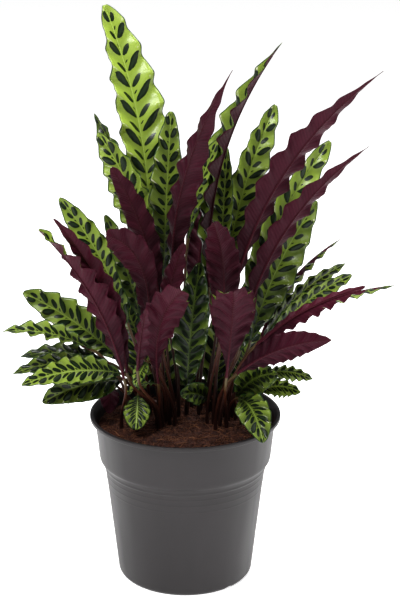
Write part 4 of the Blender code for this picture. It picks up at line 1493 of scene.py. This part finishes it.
@dataclass
class Studio:
    """A plain white room with soft light, and the camera.

    Places and the sizes of lights are metres, and lens and floor_reach are millimetres.
    """

    ground: str = "#FFFFFF"
    ground_glow: float = 0.58
    room_light: float = 0.22
    camera_place: tuple[float, float, float] = (0.0, -1.6, 0.8266)
    camera_aim: tuple[float, float, float] = (0.0, 0.0, 0.3157)
    lens: float = 93.1
    shift_x: float = 0.0246
    floor_reach: float = 30000.0
    lights_aim: tuple[float, float, float] = (0.0, 0.0, 0.3)
    panels: tuple[Panel, ...] = (
        Panel("key", (-0.8, -1.25, 2.2), 0.7, 35.0),
        Panel("fill", (1.5, -1.0, 1.3), 1.4, 6.0),
        Panel("top", (0.3, 0.3, 2.2), 1.2, 33.0),
    )

    def aimed(
        self,
        name: str,
        data: bpy.types.ID,
        place: tuple[float, float, float],
        aim: tuple[float, float, float],
    ) -> bpy.types.Object:
        """A light or a camera at one place that looks at another.

        Args:
            name: The object's name.
            data: The light or the camera.
            place: Where it stands.
            aim: What it looks at.

        Returns:
            The linked object.
        """
        obj = bpy.data.objects.new(name, data)
        obj.location = place
        obj.rotation_euler = (Vector(aim) - Vector(place)).to_track_quat("-Z", "Y").to_euler()
        bpy.context.scene.collection.objects.link(obj)
        return obj

    def floor(self) -> None:
        """A wide floor of matt white paper, which glows a little so that it shows no grey."""
        corners = ((-1, -1, 0), (1, -1, 0), (1, 1, 0), (-1, 1, 0))
        points = np.array(corners, float) * self.floor_reach
        material, tree, shader = started("white_paper")
        looks = {
            "Base Color": linear(self.ground),
            "Roughness": 0.9,
            "Emission Color": (1.0, 1.0, 1.0, 1.0),
            "Emission Strength": self.ground_glow,
        }
        feed(tree, shader, looks)
        floor = mesh_object("studio_floor", points, [(0, 1, 2, 3)], [material])

    def lights(self) -> None:
        """Three soft panels in an evenly white room."""
        world = bpy.data.worlds.new("white_room")
        bpy.context.scene.world = world
        world.use_nodes = True
        background = world.node_tree.nodes["Background"]
        feed(world.node_tree, background, ((1.0, 1.0, 1.0, 1.0), self.room_light))
        for panel in self.panels:
            light = bpy.data.lights.new(panel.name, "AREA")
            light.shape = "DISK"
            light.size = panel.size
            light.energy = panel.watts
            self.aimed(panel.name, light, panel.place, self.lights_aim)

    def camera(self) -> None:
        """A long lens at the height of the leaves, looking a little down."""
        data = bpy.data.cameras.new("camera")
        data.lens = self.lens
        data.shift_x = self.shift_x
        bpy.context.scene.camera = self.aimed("camera", data, self.camera_place, self.camera_aim)

    def build(self) -> None:
        """The floor, the lights and the camera, with colours shown as they are."""
        self.camera()
        self.lights()
        self.floor()
        bpy.context.scene.view_settings.view_transform = "Standard"
        bpy.context.scene.view_settings.look = "Medium High Contrast"


def main() -> None:
    """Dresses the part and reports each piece."""
    logging.basicConfig(level=logging.INFO, format="%(name)s: %(message)s")
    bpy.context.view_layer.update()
    Studio().build()
    NurseryPot().build(MouldedPolypropylene().material())
    PottingMix().build(PeatAndCoir())
    finishes = [LeafUpper().material(), LeafUnderside().material(), Petiole().material()]
    foliage = Foliage()
    for leaf in LEAVES:
        piece = foliage.build(leaf, finishes)
        piece.name = leaf.name.replace("leaf_", "blade_")
        finished(piece, "leaf", leaf.name)
    bpy.context.view_layer.update()


if __name__ == "__main__":
    main()
